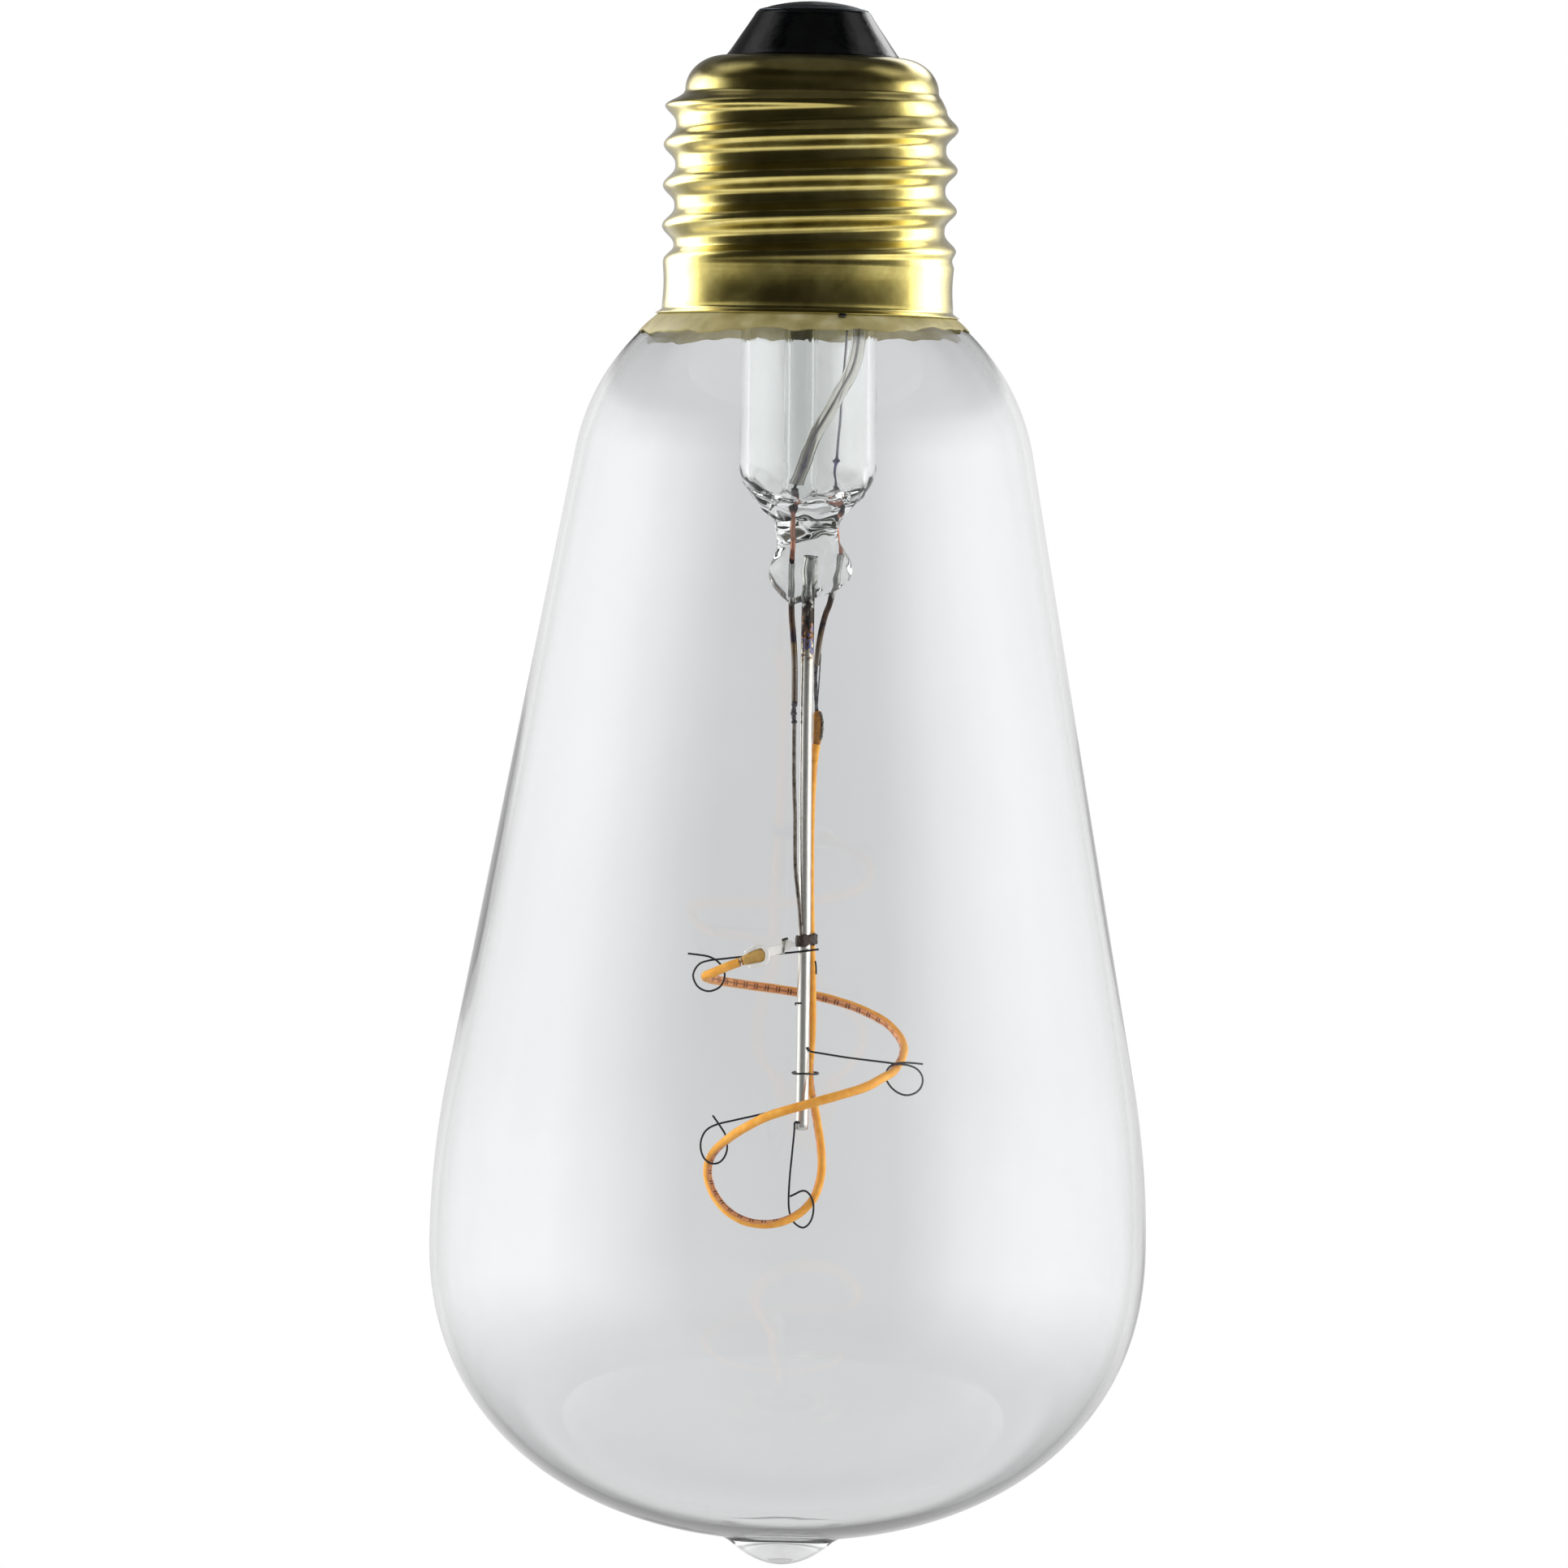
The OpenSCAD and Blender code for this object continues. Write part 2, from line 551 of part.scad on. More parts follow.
module contact_solder() {
    color([0.6, 0.62, 0.64])
        rotate_extrude()
            polygon([
                [0, 0], [solder_flat_r, 0], [eyelet_r, -solder_chamfer],
                [eyelet_r, -contact_h - solder_h], [0, -contact_h - solder_h]
            ]);
}

module rim_weld() {
    color([0.25, 0.23, 0.2])
        rotate([0, 0, lead_turn])
            translate([rim_r + weld_out, 0, -rim_drop])
                intersection() {
                    sphere(r = weld_r);
                    translate([-weld_r, -weld_r, -weld_r])
                        cube([2 * weld_r, 2 * weld_r, weld_r]);
                }
}

// Route of the side lead, in its own radial plane
shell_lead_route = [
    [board_r - 0.9, 0, board_top + shell_lead_r], [board_r + 0.1, 0, board_top + shell_lead_r],
    [neck_r + lead_off, 0, board_top - 0.4], [neck_r + lead_off, 0, -20], [neck_r + lead_off, 0, fillet_z],
    [neck_r + 0.45, 0, fillet_z - 1], [skirt_in_r - skirt_margin, 0, -rim_drop + rim_h + 0.3]
];

module shell_lead() {
    color([0.7, 0.7, 0.68])
        rotate([0, 0, lead_turn])
            wire(shell_lead_route, shell_lead_r);
}

// The cement fills the skirt round the neck, with a slot where the side lead runs down
module capping_cement() {
    glass_side = [for (p = neck_curve(0)) if (p[0] < skirt_in_r - skirt_margin) p];
    top = skirt_top + cement_rise;
    inner_r = root_r - brass_t - seat_gap;
    color([0.76, 0.66, 0.42])
        rotate_extrude(angle = 360 - slot_angle, start = lead_turn + slot_angle / 2)
            polygon(concat(
                [[neck_r, top], [inner_r, top], [inner_r, skirt_top - seat_gap],
                    [skirt_in_r, skirt_top - seat_gap], [skirt_in_r, -rim_drop + rim_h + seat_gap]],
                reversed(glass_side)));
}

module driver_board() {
    color([0.12, 0.42, 0.22])
        translate([0, 0, neck_top])
            difference() {
                cylinder(h = board_t, r = board_r);
                for (p = [outer_a_route, outer_b_route])
                    translate([last(p).x, last(p).y, -1])
                        cylinder(h = board_t + 2, r = outer_lead_r + wire_fit, $fn = 16);
            }
}

// A place on the board's upper face
function on_board(share) = [board_r * share.x, board_r * share.y, board_top];

module bridge_rectifier() {
    color([0.1, 0.1, 0.11])
        translate(on_board(rectifier_at) + [0, 0, rectifier_h / 2])
            cube([rectifier_w, rectifier_w, rectifier_h], center = true);
}

module smoothing_capacitor() {
    color([0.15, 0.16, 0.2])
        translate(on_board(capacitor_at))
            cylinder(h = capacitor_h, d = capacitor_d);
}

module driver_chip() {
    color([0.08, 0.08, 0.09])
        translate(on_board(chip_at) + [0, 0, chip_h / 2])
            cube([chip_w, chip_l, chip_h], center = true);
}

module fuse_resistor() {
    color([0.3, 0.45, 0.3])
        translate(on_board(fuse_at) + [0, 0, fuse_d / 2])
            rotate([0, 90, 0])
                cylinder(h = fuse_l, d = fuse_d, center = true);
}

module contact_lead() {
    end = on_board(fuse_at) + [-fuse_l / 2, 0, fuse_d / 2];
    route = [
        [0, 0, -contact_h - solder_h], [0, 0, -4], [0.2, -0.8, -6.5], [0.6, -2.6, -9],
        end + [-0.7, 0, fuse_d / 2], end + [-0.4, 0, 0], end
    ];
    color([0.72, 0.72, 0.7])
        wire(route, contact_lead_r, 6, 3);
}

// The stem was sealed into the neck a little out of true
module leaning() {
    translate([0, 0, neck_top])
        rotate([0, -stem_lean, 0])
            translate([0, 0, -neck_top])
                children();
}

// A glass lip that narrows to the tube, from radius a at the top to radius b over height h
function lip_curve(a, b, top, h) = [for (i = [1:8]) let (angle = 90 * i / 8)
    [b + (a - b) * (1 - sin(angle)), top - h * (1 - cos(angle))]];
// The tube's end drawn in from radius a to radius b over height h
function end_curve(a, b, foot, h, power) = [for (i = [0:8]) let (angle = 90 * i / 8)
    [b + (a - b) * pow(cos(angle), power), foot + h * (1 - sin(angle))]];

// The stem's wide tube: open and flared at the neck, closed above the pinch
module stem_flare() {
    lip = neck_r - glass_t;
    bore_r = flare_r - flare_t;
    outer = concat(
        [[lip, flare_top], [lip, flare_top - flare_lip_h]],
        lip_curve(lip, flare_r, flare_top - flare_lip_h, flare_curve_h - flare_lip_h),
        end_curve(flare_r, stem_throat_r, stem_z, close_h, close_power),
        [[0, stem_z]]);
    inner = concat(
        [[lip - flare_t, flare_top]],
        lip_curve(lip - flare_t, bore_r, flare_top, flare_curve_h),
        end_curve(bore_r, 0, stem_floor_z, floor_h, floor_power));
    color([0.85, 0.9, 0.88, 0.3])
        difference() {
            leaning()
                rotate_extrude()
                    polygon(concat(outer, reversed(inner)));
            bar(seal_a_top, seal_a_foot, seal_wire_r + glass_fit);
            bar(seal_b_top, seal_b_foot, seal_wire_r + glass_fit);
        }
}

module exhaust_tube() {
    color([0.85, 0.9, 0.88, 0.3])
        leaning()
            translate([exhaust_x, 0, exhaust_foot])
                difference() {
                    union() {
                        cylinder(h = exhaust_top - exhaust_foot, r = exhaust_r);
                        translate([0, 0, exhaust_top - exhaust_foot])
                            sphere(r = exhaust_r);
                    }
                    translate([0, 0, -1])
                        cylinder(h = exhaust_top - exhaust_foot + 1, r = exhaust_r - exhaust_t);
                }
}

// The pressed glass below the stem: a narrow waist, then a bulge that is wider than it is deep.
// A ball's last number is its size, as a share of half the pinch's thickness.
// Its middle number is its height, measured from the stem's closed end.
waist_z = stem_z - waist_down;
waist_x = [-0.85, 2.3];
waist_size = 0.83;
bulge_balls = [[-1.1, -4.8, 1], [-0.6, -5.7, 0.94], [2.4, -4.6, 0.94], [3, -4.1, 0.89]];
disc_t = 0.1;

module pinch_seal() {
    color([0.75, 0.85, 0.8, 0.45])
        difference() {
            union() {
                hull() {
                    leaning()
                        translate([0, 0, stem_z - disc_t])
                            cylinder(h = disc_t, r = stem_throat_r, $fn = 24);
                    for (x = waist_x)
                        translate([x, 0, waist_z])
                            sphere(r = pinch_half * waist_size, $fn = 20);
                }
                hull()
                    for (p = bulge_balls)
                        translate([p.x, 0, stem_z + p.y])
                            sphere(r = pinch_half * p.z, $fn = 20);
            }
            bar(seal_a_top, seal_a_foot, seal_wire_r + glass_fit);
            bar(seal_b_top, seal_b_foot, seal_wire_r + glass_fit);
            bar(seal_a_foot, inner_a_out, inner_lead_r + glass_fit);
            bar(seal_b_foot, inner_b_out, inner_lead_r + glass_fit);
            bar(rod_top, rod_foot, rod_r + glass_fit);
        }
}

module outer_lead_a() {
    color([0.4, 0.4, 0.45])
        wire(outer_a_route, outer_lead_r);
}

module outer_lead_b() {
    color([0.4, 0.4, 0.45])
        wire(outer_b_route, outer_lead_r);
}

module lead_sleeve() {
    covered = smooth([for (i = [sleeve_first:sleeve_last]) outer_a_route[i]], 2);
    color([0.9, 0.88, 0.7, 0.4])
        difference() {
            tube(covered, sleeve_r, sleeve_r, 8);
            tube(covered, sleeve_bore_r, sleeve_bore_r, 8);
        }
}

module seal_wire_a() {
    color([0.72, 0.42, 0.3])
        bar(seal_a_top, seal_a_foot, seal_wire_r);
}

module seal_wire_b() {
    color([0.6, 0.3, 0.25])
        bar(seal_b_top, seal_b_foot, seal_wire_r);
}

module inner_lead_a() {
    color([0.2, 0.16, 0.13])
        wire(inner_a_route, inner_lead_r, 8);
}

module inner_lead_b() {
    color([0.2, 0.16, 0.13])
        wire(inner_b_route, inner_lead_r, 8);
}

module lead_weld() {
    color([0.25, 0.22, 0.22])
        bar(inner_a_foot, lower_a_top, inner_lead_r);
}

module lower_lead_a() {
    color([0.35, 0.3, 0.27])
        wire(lower_a_route, lower_lead_r);
}

// Where the rod's axis is at height z
function rod_at(z) = rod_top + (rod_foot - rod_top) * (z - rod_top.z) / (rod_foot.z - rod_top.z);

// The outline of the rod, the lead and the filament seen along the rod, grown by g
module bundle(g) {
    rod = rod_at(collar_top);
    hull() {
        translate([rod.x, rod.y])
            circle(r = rod_r + g);
        translate([run_at_collar.x, run_at_collar.y])
            circle(r = filament_r + g);
        translate([lower_a_foot.x, lower_a_foot.y])
            circle(r = lower_lead_r + g);
    }
}

module lead_collar() {
    color([0.16, 0.12, 0.1])
        translate([0, 0, collar_top - collar_h])
            linear_extrude(height = collar_h)
                difference() {
                    bundle(wire_fit + collar_t);
                    bundle(wire_fit);
                }
}

module support_rod() {
    color([0.82, 0.82, 0.78])
        bar(rod_top, rod_foot, rod_r);
}

module led_filament() {
    color([0.95, 0.62, 0.22])
        tube(smooth(filament_route, 2), filament_r, filament_r, 8);
}

module filament_end_upper() {
    color([0.5, 0.28, 0.08])
        tube(upper_end_route, filament_end_r, filament_end_r, 10);
}

module filament_end_lower() {
    color([0.75, 0.5, 0.18])
        hull() {
            translate(filament_foot)
                sphere(r = filament_end_r, $fn = 20);
            translate(club_at)
                scale([1, club_depth / 2 / club_r, 1])
                    sphere(r = club_r, $fn = 32);
        }
}

module upper_tab() {
    color([0.35, 0.33, 0.32])
        union() {
            strip(tab_route, tab_w, tab_t);
            strip(tab_leg_route, tab_leg_w, tab_leg_w);
        }
}

module end_clip() {
    color([0.92, 0.92, 0.9])
        strip(clip_route, clip_t, clip_w, 3);
}

// The strip from the collar to the clip, with a fold standing up from it
module clip_strap() {
    color([0.92, 0.92, 0.9])
        union() {
            strip(strap_route, strap_w, strap_t);
            translate(fold_at)
                cube(fold_size, center = true);
        }
}

module hook_upper_left() {
    color([0.1, 0.1, 0.12])
        wire(hook_upper_left_route, hook_r);
}

module hook_right() {
    color([0.1, 0.1, 0.12])
        wire(hook_right_route, hook_r);
}

module hook_lower_left() {
    color([0.1, 0.1, 0.12])
        wire(hook_lower_left_route, hook_r);
}

module hook_bottom() {
    color([0.1, 0.1, 0.12])
        wire(hook_bottom_route, hook_r);
}

// The ring goes round the rod and the straight run of the filament together
module tie_ring() {
    rod = rod_at(tie_z);
    strip = [run_foot.x, run_foot.y, tie_z];
    apart = norm(strip - rod);
    ring_r = (rod_r + apart + filament_r) / 2 + hook_r + wire_fit;
    c = rod + unit(strip - rod) * (ring_r - hook_r - wire_fit - rod_r);
    color([0.2, 0.2, 0.22])
        translate([c.x, c.y, tie_z])
            rotate([tie_tilt, 0, 0])
                rotate_extrude()
                    translate([ring_r, 0])
                        circle(r = hook_r, $fn = 16);
}

screw_shell();
insulator();
centre_contact();
contact_solder();
rim_weld();
capping_cement();
driver_board();
bridge_rectifier();
smoothing_capacitor();
driver_chip();
fuse_resistor();
contact_lead();
shell_lead();
glass_envelope();
stem_flare();
exhaust_tube();
pinch_seal();
outer_lead_a();
outer_lead_b();
lead_sleeve();
seal_wire_a();
seal_wire_b();
inner_lead_a();
inner_lead_b();
lead_weld();
lower_lead_a();
lead_collar();
support_rod();
led_filament();
filament_end_upper();
filament_end_lower();
upper_tab();
end_clip();
clip_strap();
hook_upper_left();
hook_right();
hook_lower_left();
hook_bottom();
tie_ring();
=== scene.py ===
# %% [markdown]
# # A clear LED filament bulb
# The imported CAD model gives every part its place, in metres: the tip of the end contact is the
# origin and the bulb hangs below it along -Z, with its front towards -Y. This lesson puts the real
# finish on those parts: blown glass, rolled brass, amber silicone and bent wire.
#
# Lengths below are in millimetres, because that is how the bulb was measured, and one factor turns
# them into Blender's metres.

# %% Load the frame
import math
import bpy
import numpy as np
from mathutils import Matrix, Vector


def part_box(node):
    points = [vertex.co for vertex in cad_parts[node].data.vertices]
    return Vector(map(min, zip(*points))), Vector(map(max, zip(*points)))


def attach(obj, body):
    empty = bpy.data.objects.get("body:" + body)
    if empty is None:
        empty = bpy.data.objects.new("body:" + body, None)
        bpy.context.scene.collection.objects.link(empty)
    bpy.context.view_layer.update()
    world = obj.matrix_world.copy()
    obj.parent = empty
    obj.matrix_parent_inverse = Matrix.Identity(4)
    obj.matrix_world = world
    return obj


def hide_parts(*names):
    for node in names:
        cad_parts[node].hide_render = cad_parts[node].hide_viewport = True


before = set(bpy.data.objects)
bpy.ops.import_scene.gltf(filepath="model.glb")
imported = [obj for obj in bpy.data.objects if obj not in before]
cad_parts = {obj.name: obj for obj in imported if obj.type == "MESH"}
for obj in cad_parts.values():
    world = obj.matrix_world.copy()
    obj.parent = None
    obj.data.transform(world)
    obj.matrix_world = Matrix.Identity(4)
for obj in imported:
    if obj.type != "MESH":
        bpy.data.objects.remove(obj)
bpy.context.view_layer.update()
MM = 0.001

# %% [markdown]
# ## Camera
# The photograph was taken level with the middle of the bulb, from far away with a long lens, so
# lines stay almost parallel. The bulb leans about a degree to the right in it. The camera is
# rolled by that angle instead, and the object stays straight, as the CAD has it.

# %% Camera
def stand(name, data):
    """A new object in the scene that shows a mesh, a lamp or a camera."""
    made = bpy.data.objects.new(name, data)
    bpy.context.scene.collection.objects.link(made)
    return made


VIEW_W = 139.96 * MM          # width of the picture where the bulb hangs
VIEW_AWAY = 2.0
LEAN = math.radians(1.236)
SENSOR = 36
camera_data = bpy.data.cameras.new("camera")
camera_data.sensor_width = SENSOR
camera_data.lens = SENSOR * VIEW_AWAY / VIEW_W
camera_data.clip_end = 50
camera = stand("camera", camera_data)
camera.location = (-1.18 * MM, -VIEW_AWAY, -69.9 * MM)
camera.rotation_euler = (math.pi / 2, -LEAN, 0)
bpy.context.scene.camera = camera
bpy.context.scene.view_settings.view_transform = "Standard"
print("lens", round(camera_data.lens), "mm")

# %% [markdown]
# ## Turning a grid of points into a mesh
# Nearly every piece here is round in one direction: a profile turned about the axis, or a ring
# carried along a wire. A Screw modifier or a bevelled curve could make them, but a grid of points,
# stations one way and angles the other, also takes waves, dents and uneven edges. One function
# closes such a grid into a mesh, so each piece only says where its points are.

# %% Faces of a grid
def quads_of(m, n, ring, lengths):
    """Four corners and their UV for each cell of a grid of m stations and n angles."""
    i, j = np.meshgrid(np.arange(m if ring else m - 1), np.arange(n), indexing="ij")
    i, j = i.ravel(), j.ravel()
    up, on = (i + 1) % m, (j + 1) % n
    quads = np.stack([i * n + j, i * n + on, up * n + on, up * n + j], 1)
    uv = np.stack([np.stack([j / n, (j + 1) / n, (j + 1) / n, j / n], 1),
                   np.stack([lengths[i], lengths[i], lengths[up], lengths[up]], 1)], 2)
    return quads, uv


def fans_of(m, n, lengths):
    """Triangles from a centre point to the first ring, and from another to the last."""
    k = np.arange(n)
    low = np.stack([np.full(n, m * n), (k + 1) % n, k], 1)
    high = np.stack([np.full(n, m * n + 1), (m - 1) * n + k, (m - 1) * n + (k + 1) % n], 1)
    turn = np.stack([(k + .5) / n, k / n, (k + 1) / n], 1)
    uv = [np.stack([turn, np.full((n, 3), lengths[end])], 2) for end in (0, -1)]
    return np.concatenate([low, high]), np.concatenate(uv)


# %% [markdown]
# Faces must look outwards. Summed over all of them, corner a times (corner b cross corner c) is
# six times the volume. It is negative for a mesh that is inside out, and then every face is
# read backwards.

# %% The grid becomes a mesh
def volume_sign(points, faces):
    """Sum of a . (b x c) over triangles a b c, and over both halves of four-sided faces."""
    corners = [points[faces[:, k]] for k in range(faces.shape[1])]
    return sum((corners[0] * np.cross(b, c)).sum() for b, c in zip(corners[1:-1], corners[2:]))


def skin(name, grid, ring=False, lengths=None):
    """A closed mesh from grid[station, angle, xyz] in millimetres.
    The angles always close. ring closes the stations too; otherwise each end gets a centre point.
    The UV map is (angle as a share of the turn, length along the stations in millimetres)."""
    m, n, _ = grid.shape
    points = grid.reshape(-1, 3)
    if lengths is None:
        steps = np.linalg.norm(np.diff(grid[:, 0], axis=0), axis=1)
        lengths = np.concatenate([[0], np.cumsum(steps)])
    quads, uv = quads_of(m, n, ring, lengths)
    fans, fan_uv = np.zeros((0, 3), int), np.zeros((0, 3, 2))
    if not ring:
        points = np.concatenate([points, [grid[0].mean(0)], [grid[-1].mean(0)]])
        fans, fan_uv = fans_of(m, n, lengths)
    if volume_sign(points, quads) + volume_sign(points, fans) < 0:
        quads, uv, fans, fan_uv = (v[:, ::-1] for v in (quads, uv, fans, fan_uv))
    mesh = bpy.data.meshes.new(name)
    mesh.from_pydata((points * MM).tolist(), [], quads.tolist() + fans.tolist())
    layer = mesh.uv_layers.new(name="around_along")
    layer.data.foreach_set("uv", np.concatenate([uv.reshape(-1, 2), fan_uv.reshape(-1, 2)]).ravel())
    mesh.polygons.foreach_set("use_smooth", np.ones(len(mesh.polygons), bool))
    return stand(name, mesh)


# %% [markdown]
# Two small helpers go with it. One turns a profile about the bulb's axis.

# %% Turned shapes and placing
def around(n):
    """n angles of a full turn, as a row that broadcasts against a column of stations."""
    return np.linspace(0, 2 * np.pi, n, endpoint=False)[None, :]


def cylindrical(r, a, z):
    """Points (r cos a, r sin a, z)."""
    return np.stack([r * np.cos(a), r * np.sin(a), z], 2)


def turned(profile, n, wobble=None):
    """Grid of a profile[(radius, height)] turned about Z. wobble(a, r, z) may give each point a
    little more radius."""
    a = around(n)
    r, z = profile[:, 0:1] + 0 * a, profile[:, 1:2] + 0 * a
    if wobble is not None:
        r = r + wobble(a, r, z)
    return cylindrical(r, a, z)


def place(piece, finish, *nodes, slot=None):
    """Gives a piece its finish, hides the CAD nodes it stands for, and fixes it to the body."""
    piece.data.materials.append(finish.material)
    if nodes:
        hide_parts(*nodes)
    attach(piece, "root")
    print(piece.name, len(piece.data.polygons), "faces")
    return piece


# %% [markdown]
# ## Mixing a finish
# A finish is a Principled shader with a few nodes in front of it. The helpers only add a node,
# join two sockets and mix two values, so that each material below reads as a short recipe:
# how rough, what varies over the surface, and what stands up from it as a bump.
# All patterns read Object coordinates or the piece's own UV map, so they stay on the piece.

# %% Helpers for materials
class Finish:
    """A material under construction: its node tree and its Principled shader."""

    def __init__(self, name, **sockets):
        self.material = bpy.data.materials.new(name)
        self.material.use_nodes = True
        self.tree = self.material.node_tree
        self.shader = self.tree.nodes["Principled BSDF"]
        for key, value in sockets.items():
            self.shader.inputs[key.replace("_", " ")].default_value = value
        self.where = self.tree.nodes.new("ShaderNodeTexCoord")

    def feed(self, socket, value):
        """Another node's output is linked to the socket; a plain value is set on it."""
        if isinstance(value, bpy.types.NodeSocket):
            self.tree.links.new(value, socket)
        else:
            short = isinstance(value, tuple) and len(value) == 3 and socket.type == "RGBA"
            socket.default_value = (*value, 1) if short else value

    def node(self, kind, **inputs):
        """A new node with its inputs fed by name."""
        made = self.tree.nodes.new("ShaderNode" + kind)
        for key, value in inputs.items():
            self.feed(made.inputs[key.replace("_", " ")], value)
        return made

    def uv(self, axis):
        """X: share of the turn. Y: length along the stations in millimetres."""
        return self.node("SeparateXYZ", Vector=self.where.outputs["UV"]).outputs[axis]

    def noise(self, size, scale=(1, 1, 1), detail=4.0, uv=False):
        """Noise whose lumps are about `size` millimetres (or UV units) across, stretched by scale."""
        source = self.where.outputs["UV" if uv else "Object"]
        spot = self.node("Mapping", Vector=source, Scale=scale).outputs["Vector"]
        unit = size if uv else size * MM
        return self.node("TexNoise", Vector=spot, Scale=1 / unit, Detail=detail).outputs["Fac"]

    def ramp(self, value, *stops):
        """Colours at positions: (0.4, colour), (0.6, colour)."""
        made = self.node("ValToRGB", Fac=value)
        line = made.color_ramp
        while len(line.elements) < len(stops):
            line.elements.new(0.5)
        for element, (at, colour) in zip(line.elements, stops):
            element.position = at
            element.color = (*colour, 1)
        return made.outputs["Color"]

    def maths(self, what, a, b=0.0):
        """a and b joined by one operation of the Math node."""
        made = self.tree.nodes.new("ShaderNodeMath")
        made.operation = what
        self.feed(made.inputs[0], a)
        self.feed(made.inputs[1], b)
        return made.outputs[0]

    def spread(self, value, low, high, bottom=0.3, top=0.7):
        """A value between bottom and top becomes one between low and high, and no more than these."""
        return self.node("MapRange", Value=value, From_Min=bottom, From_Max=top, To_Min=low,
                         To_Max=high).outputs["Result"]

    def mix(self, share, a, b):
        """(1 - share) of colour a and share of colour b."""
        made = self.tree.nodes.new("ShaderNodeMix")
        made.data_type = "RGBA"
        for slot, value in ((0, share), (6, a), (7, b)):      # 6 and 7 are the node's two colours
            self.feed(made.inputs[slot], value)
        return made.outputs[2]

    def to(self, key, value):
        """Links a value to one of the shader's sockets."""
        self.tree.links.new(value, self.shader.inputs[key])

    def bump(self, height, depth, strength):
        """A bump `depth` millimetres high where height is 1."""
        self.to("Normal", self.node("Bump", Height=height, Distance=depth * MM,
                                    Strength=strength).outputs["Normal"])


# %% [markdown]
# Dirt, wear and oxide change colour and roughness together, so most surfaces need only one noise
# for both. Drawn wire has a grain that is finer than its stains.

# %% Two recipes
def mottled(name, grain, stops, rough, depth, detail=5, strength=0.5, relief=None, **sockets):
    """One noise, grain millimetres wide, gives colour (stops) and roughness (between two values).
    The bump is the same noise, or one of its own: relief = (size, detail). Without stops the
    colour is left to something else."""
    made = Finish(name, **sockets)
    lumps = made.noise(grain, detail=detail)
    if stops:
        made.to("Base Color", made.ramp(lumps, *stops))
    made.to("Roughness", made.spread(lumps, *rough))
    made.bump(made.noise(relief[0], detail=relief[1]) if relief else lumps, depth, strength)
    return made


def two_tones(low, high):
    """Stops for a plain change between two colours."""
    return (0.35, low), (0.65, high)


def metal(name, stops, rough, grain=0.6, depth=0.006, metallic=1.0):
    """Metal with a bump that is 0.3 times as coarse as its stains."""
    return mottled(name, grain, stops, rough, depth, relief=(grain * 0.3, 4), Metallic=metallic)


# %% [markdown]
# ## Studio
# A clear bulb shows mostly what stands round it, so it is photographed in a tent: white cloth at
# both sides and behind, and a dark gap towards the camera. Here the tent is a tall cylinder whose
# glow is written on its points. Only reflections see it, and what looks out through the glass.
#
# The tables give its brightness by direction, in degrees: 0 is towards the camera, the right is
# positive and 180 is straight behind. One row is one height, in metres. Low in front the cloth
# glows a little for the belly. Far above the rows fade, and far below they level out, so that no
# hard edge is mirrored. What looks straight through the glass sees one even grey from every side,
# which keeps the glass from vanishing on white.

# %% Tables of brightness
ROUND = [-180, -143, -125, -109, -96, -84, -73, -62, -53, -44, -34, 0,
         34, 44, 53, 62, 73, 84, 96, 109, 125, 143, 180]
CLOTH = [0.72, 0.9, 1.3, 1.8, 2.1, 2.2, 1.8, 1.4, 0.8, 0.4, 0.25, 0.05,
         0.45, 1.2, 1.8, 2.1, 2.2, 2.2, 2.1, 1.8, 1.3, 0.9, 0.72]
LOW = [0.6] * 7 + [0.55, 0.5, 0.45, 0.4, 0.4, 0.4, 0.45, 0.5, 0.55] + [0.6] * 7
CARDS = [0.35, 0.5, 3.0, 5.8, 4.0, 1.0, 0.10, 0.04, 0.02, 0.015, 0.01, 0.006,
         0.04, 0.07, 0.11, 0.2, 0.6, 3.0, 6.0, 4.6, 1.3, 0.4, 0.35]
BACK_CARD = [0.1] * 3 + [0.3, 0.3] + [0.02] * 12 + [0.2, 0.4, 0.5, 1.0, 3.0, 0.4]
FRONT, BEHIND = 50, 130       # degrees: less than the first is in front, more than the other behind


def front_glow(glow):
    """The cloth's row, but at least as bright as `glow` in front."""
    return [max(v, glow if abs(a) < FRONT else 0) for a, v in zip(ROUND, CLOTH)]


def shade(row, by, back=1.0):
    """The row times `by`, and times `back` as well behind the bulb."""
    return [v * (by if abs(a) < BEHIND else by * back) for a, v in zip(ROUND, row)]


TENT_LOW, TENT_HIGH, TENT_R = -0.75, 0.75, 0.7
TENT = {TENT_LOW: shade(LOW, 1.3), -0.6: shade(LOW, 1.2), -0.5: shade(front_glow(0.7), 0.36),
        -0.36: shade(front_glow(0.65), 0.52), -0.2: front_glow(0.45), -0.11: front_glow(0.3),
        -0.05: CLOTH, 0.1: shade(CLOTH, 1.05), 0.2: shade(CLOTH, 0.9), 0.33: shade(CLOTH, 0.55),
        0.5: shade(CLOTH, 0.25), TENT_HIGH: shade(CLOTH, 0.1)}
THROUGH_GLASS = 0.72          # brightness of the even grey
print(len(TENT), "heights of", len(ROUND), "directions")

# %% [markdown]
# ### Hanging the cloth
# The cylinder's shader reads the glow from the points. The Light Path node tells how often a ray
# was mirrored: never means that it came straight through the glass, and then the strength
# is the even grey. A faint noise stands for the weave.

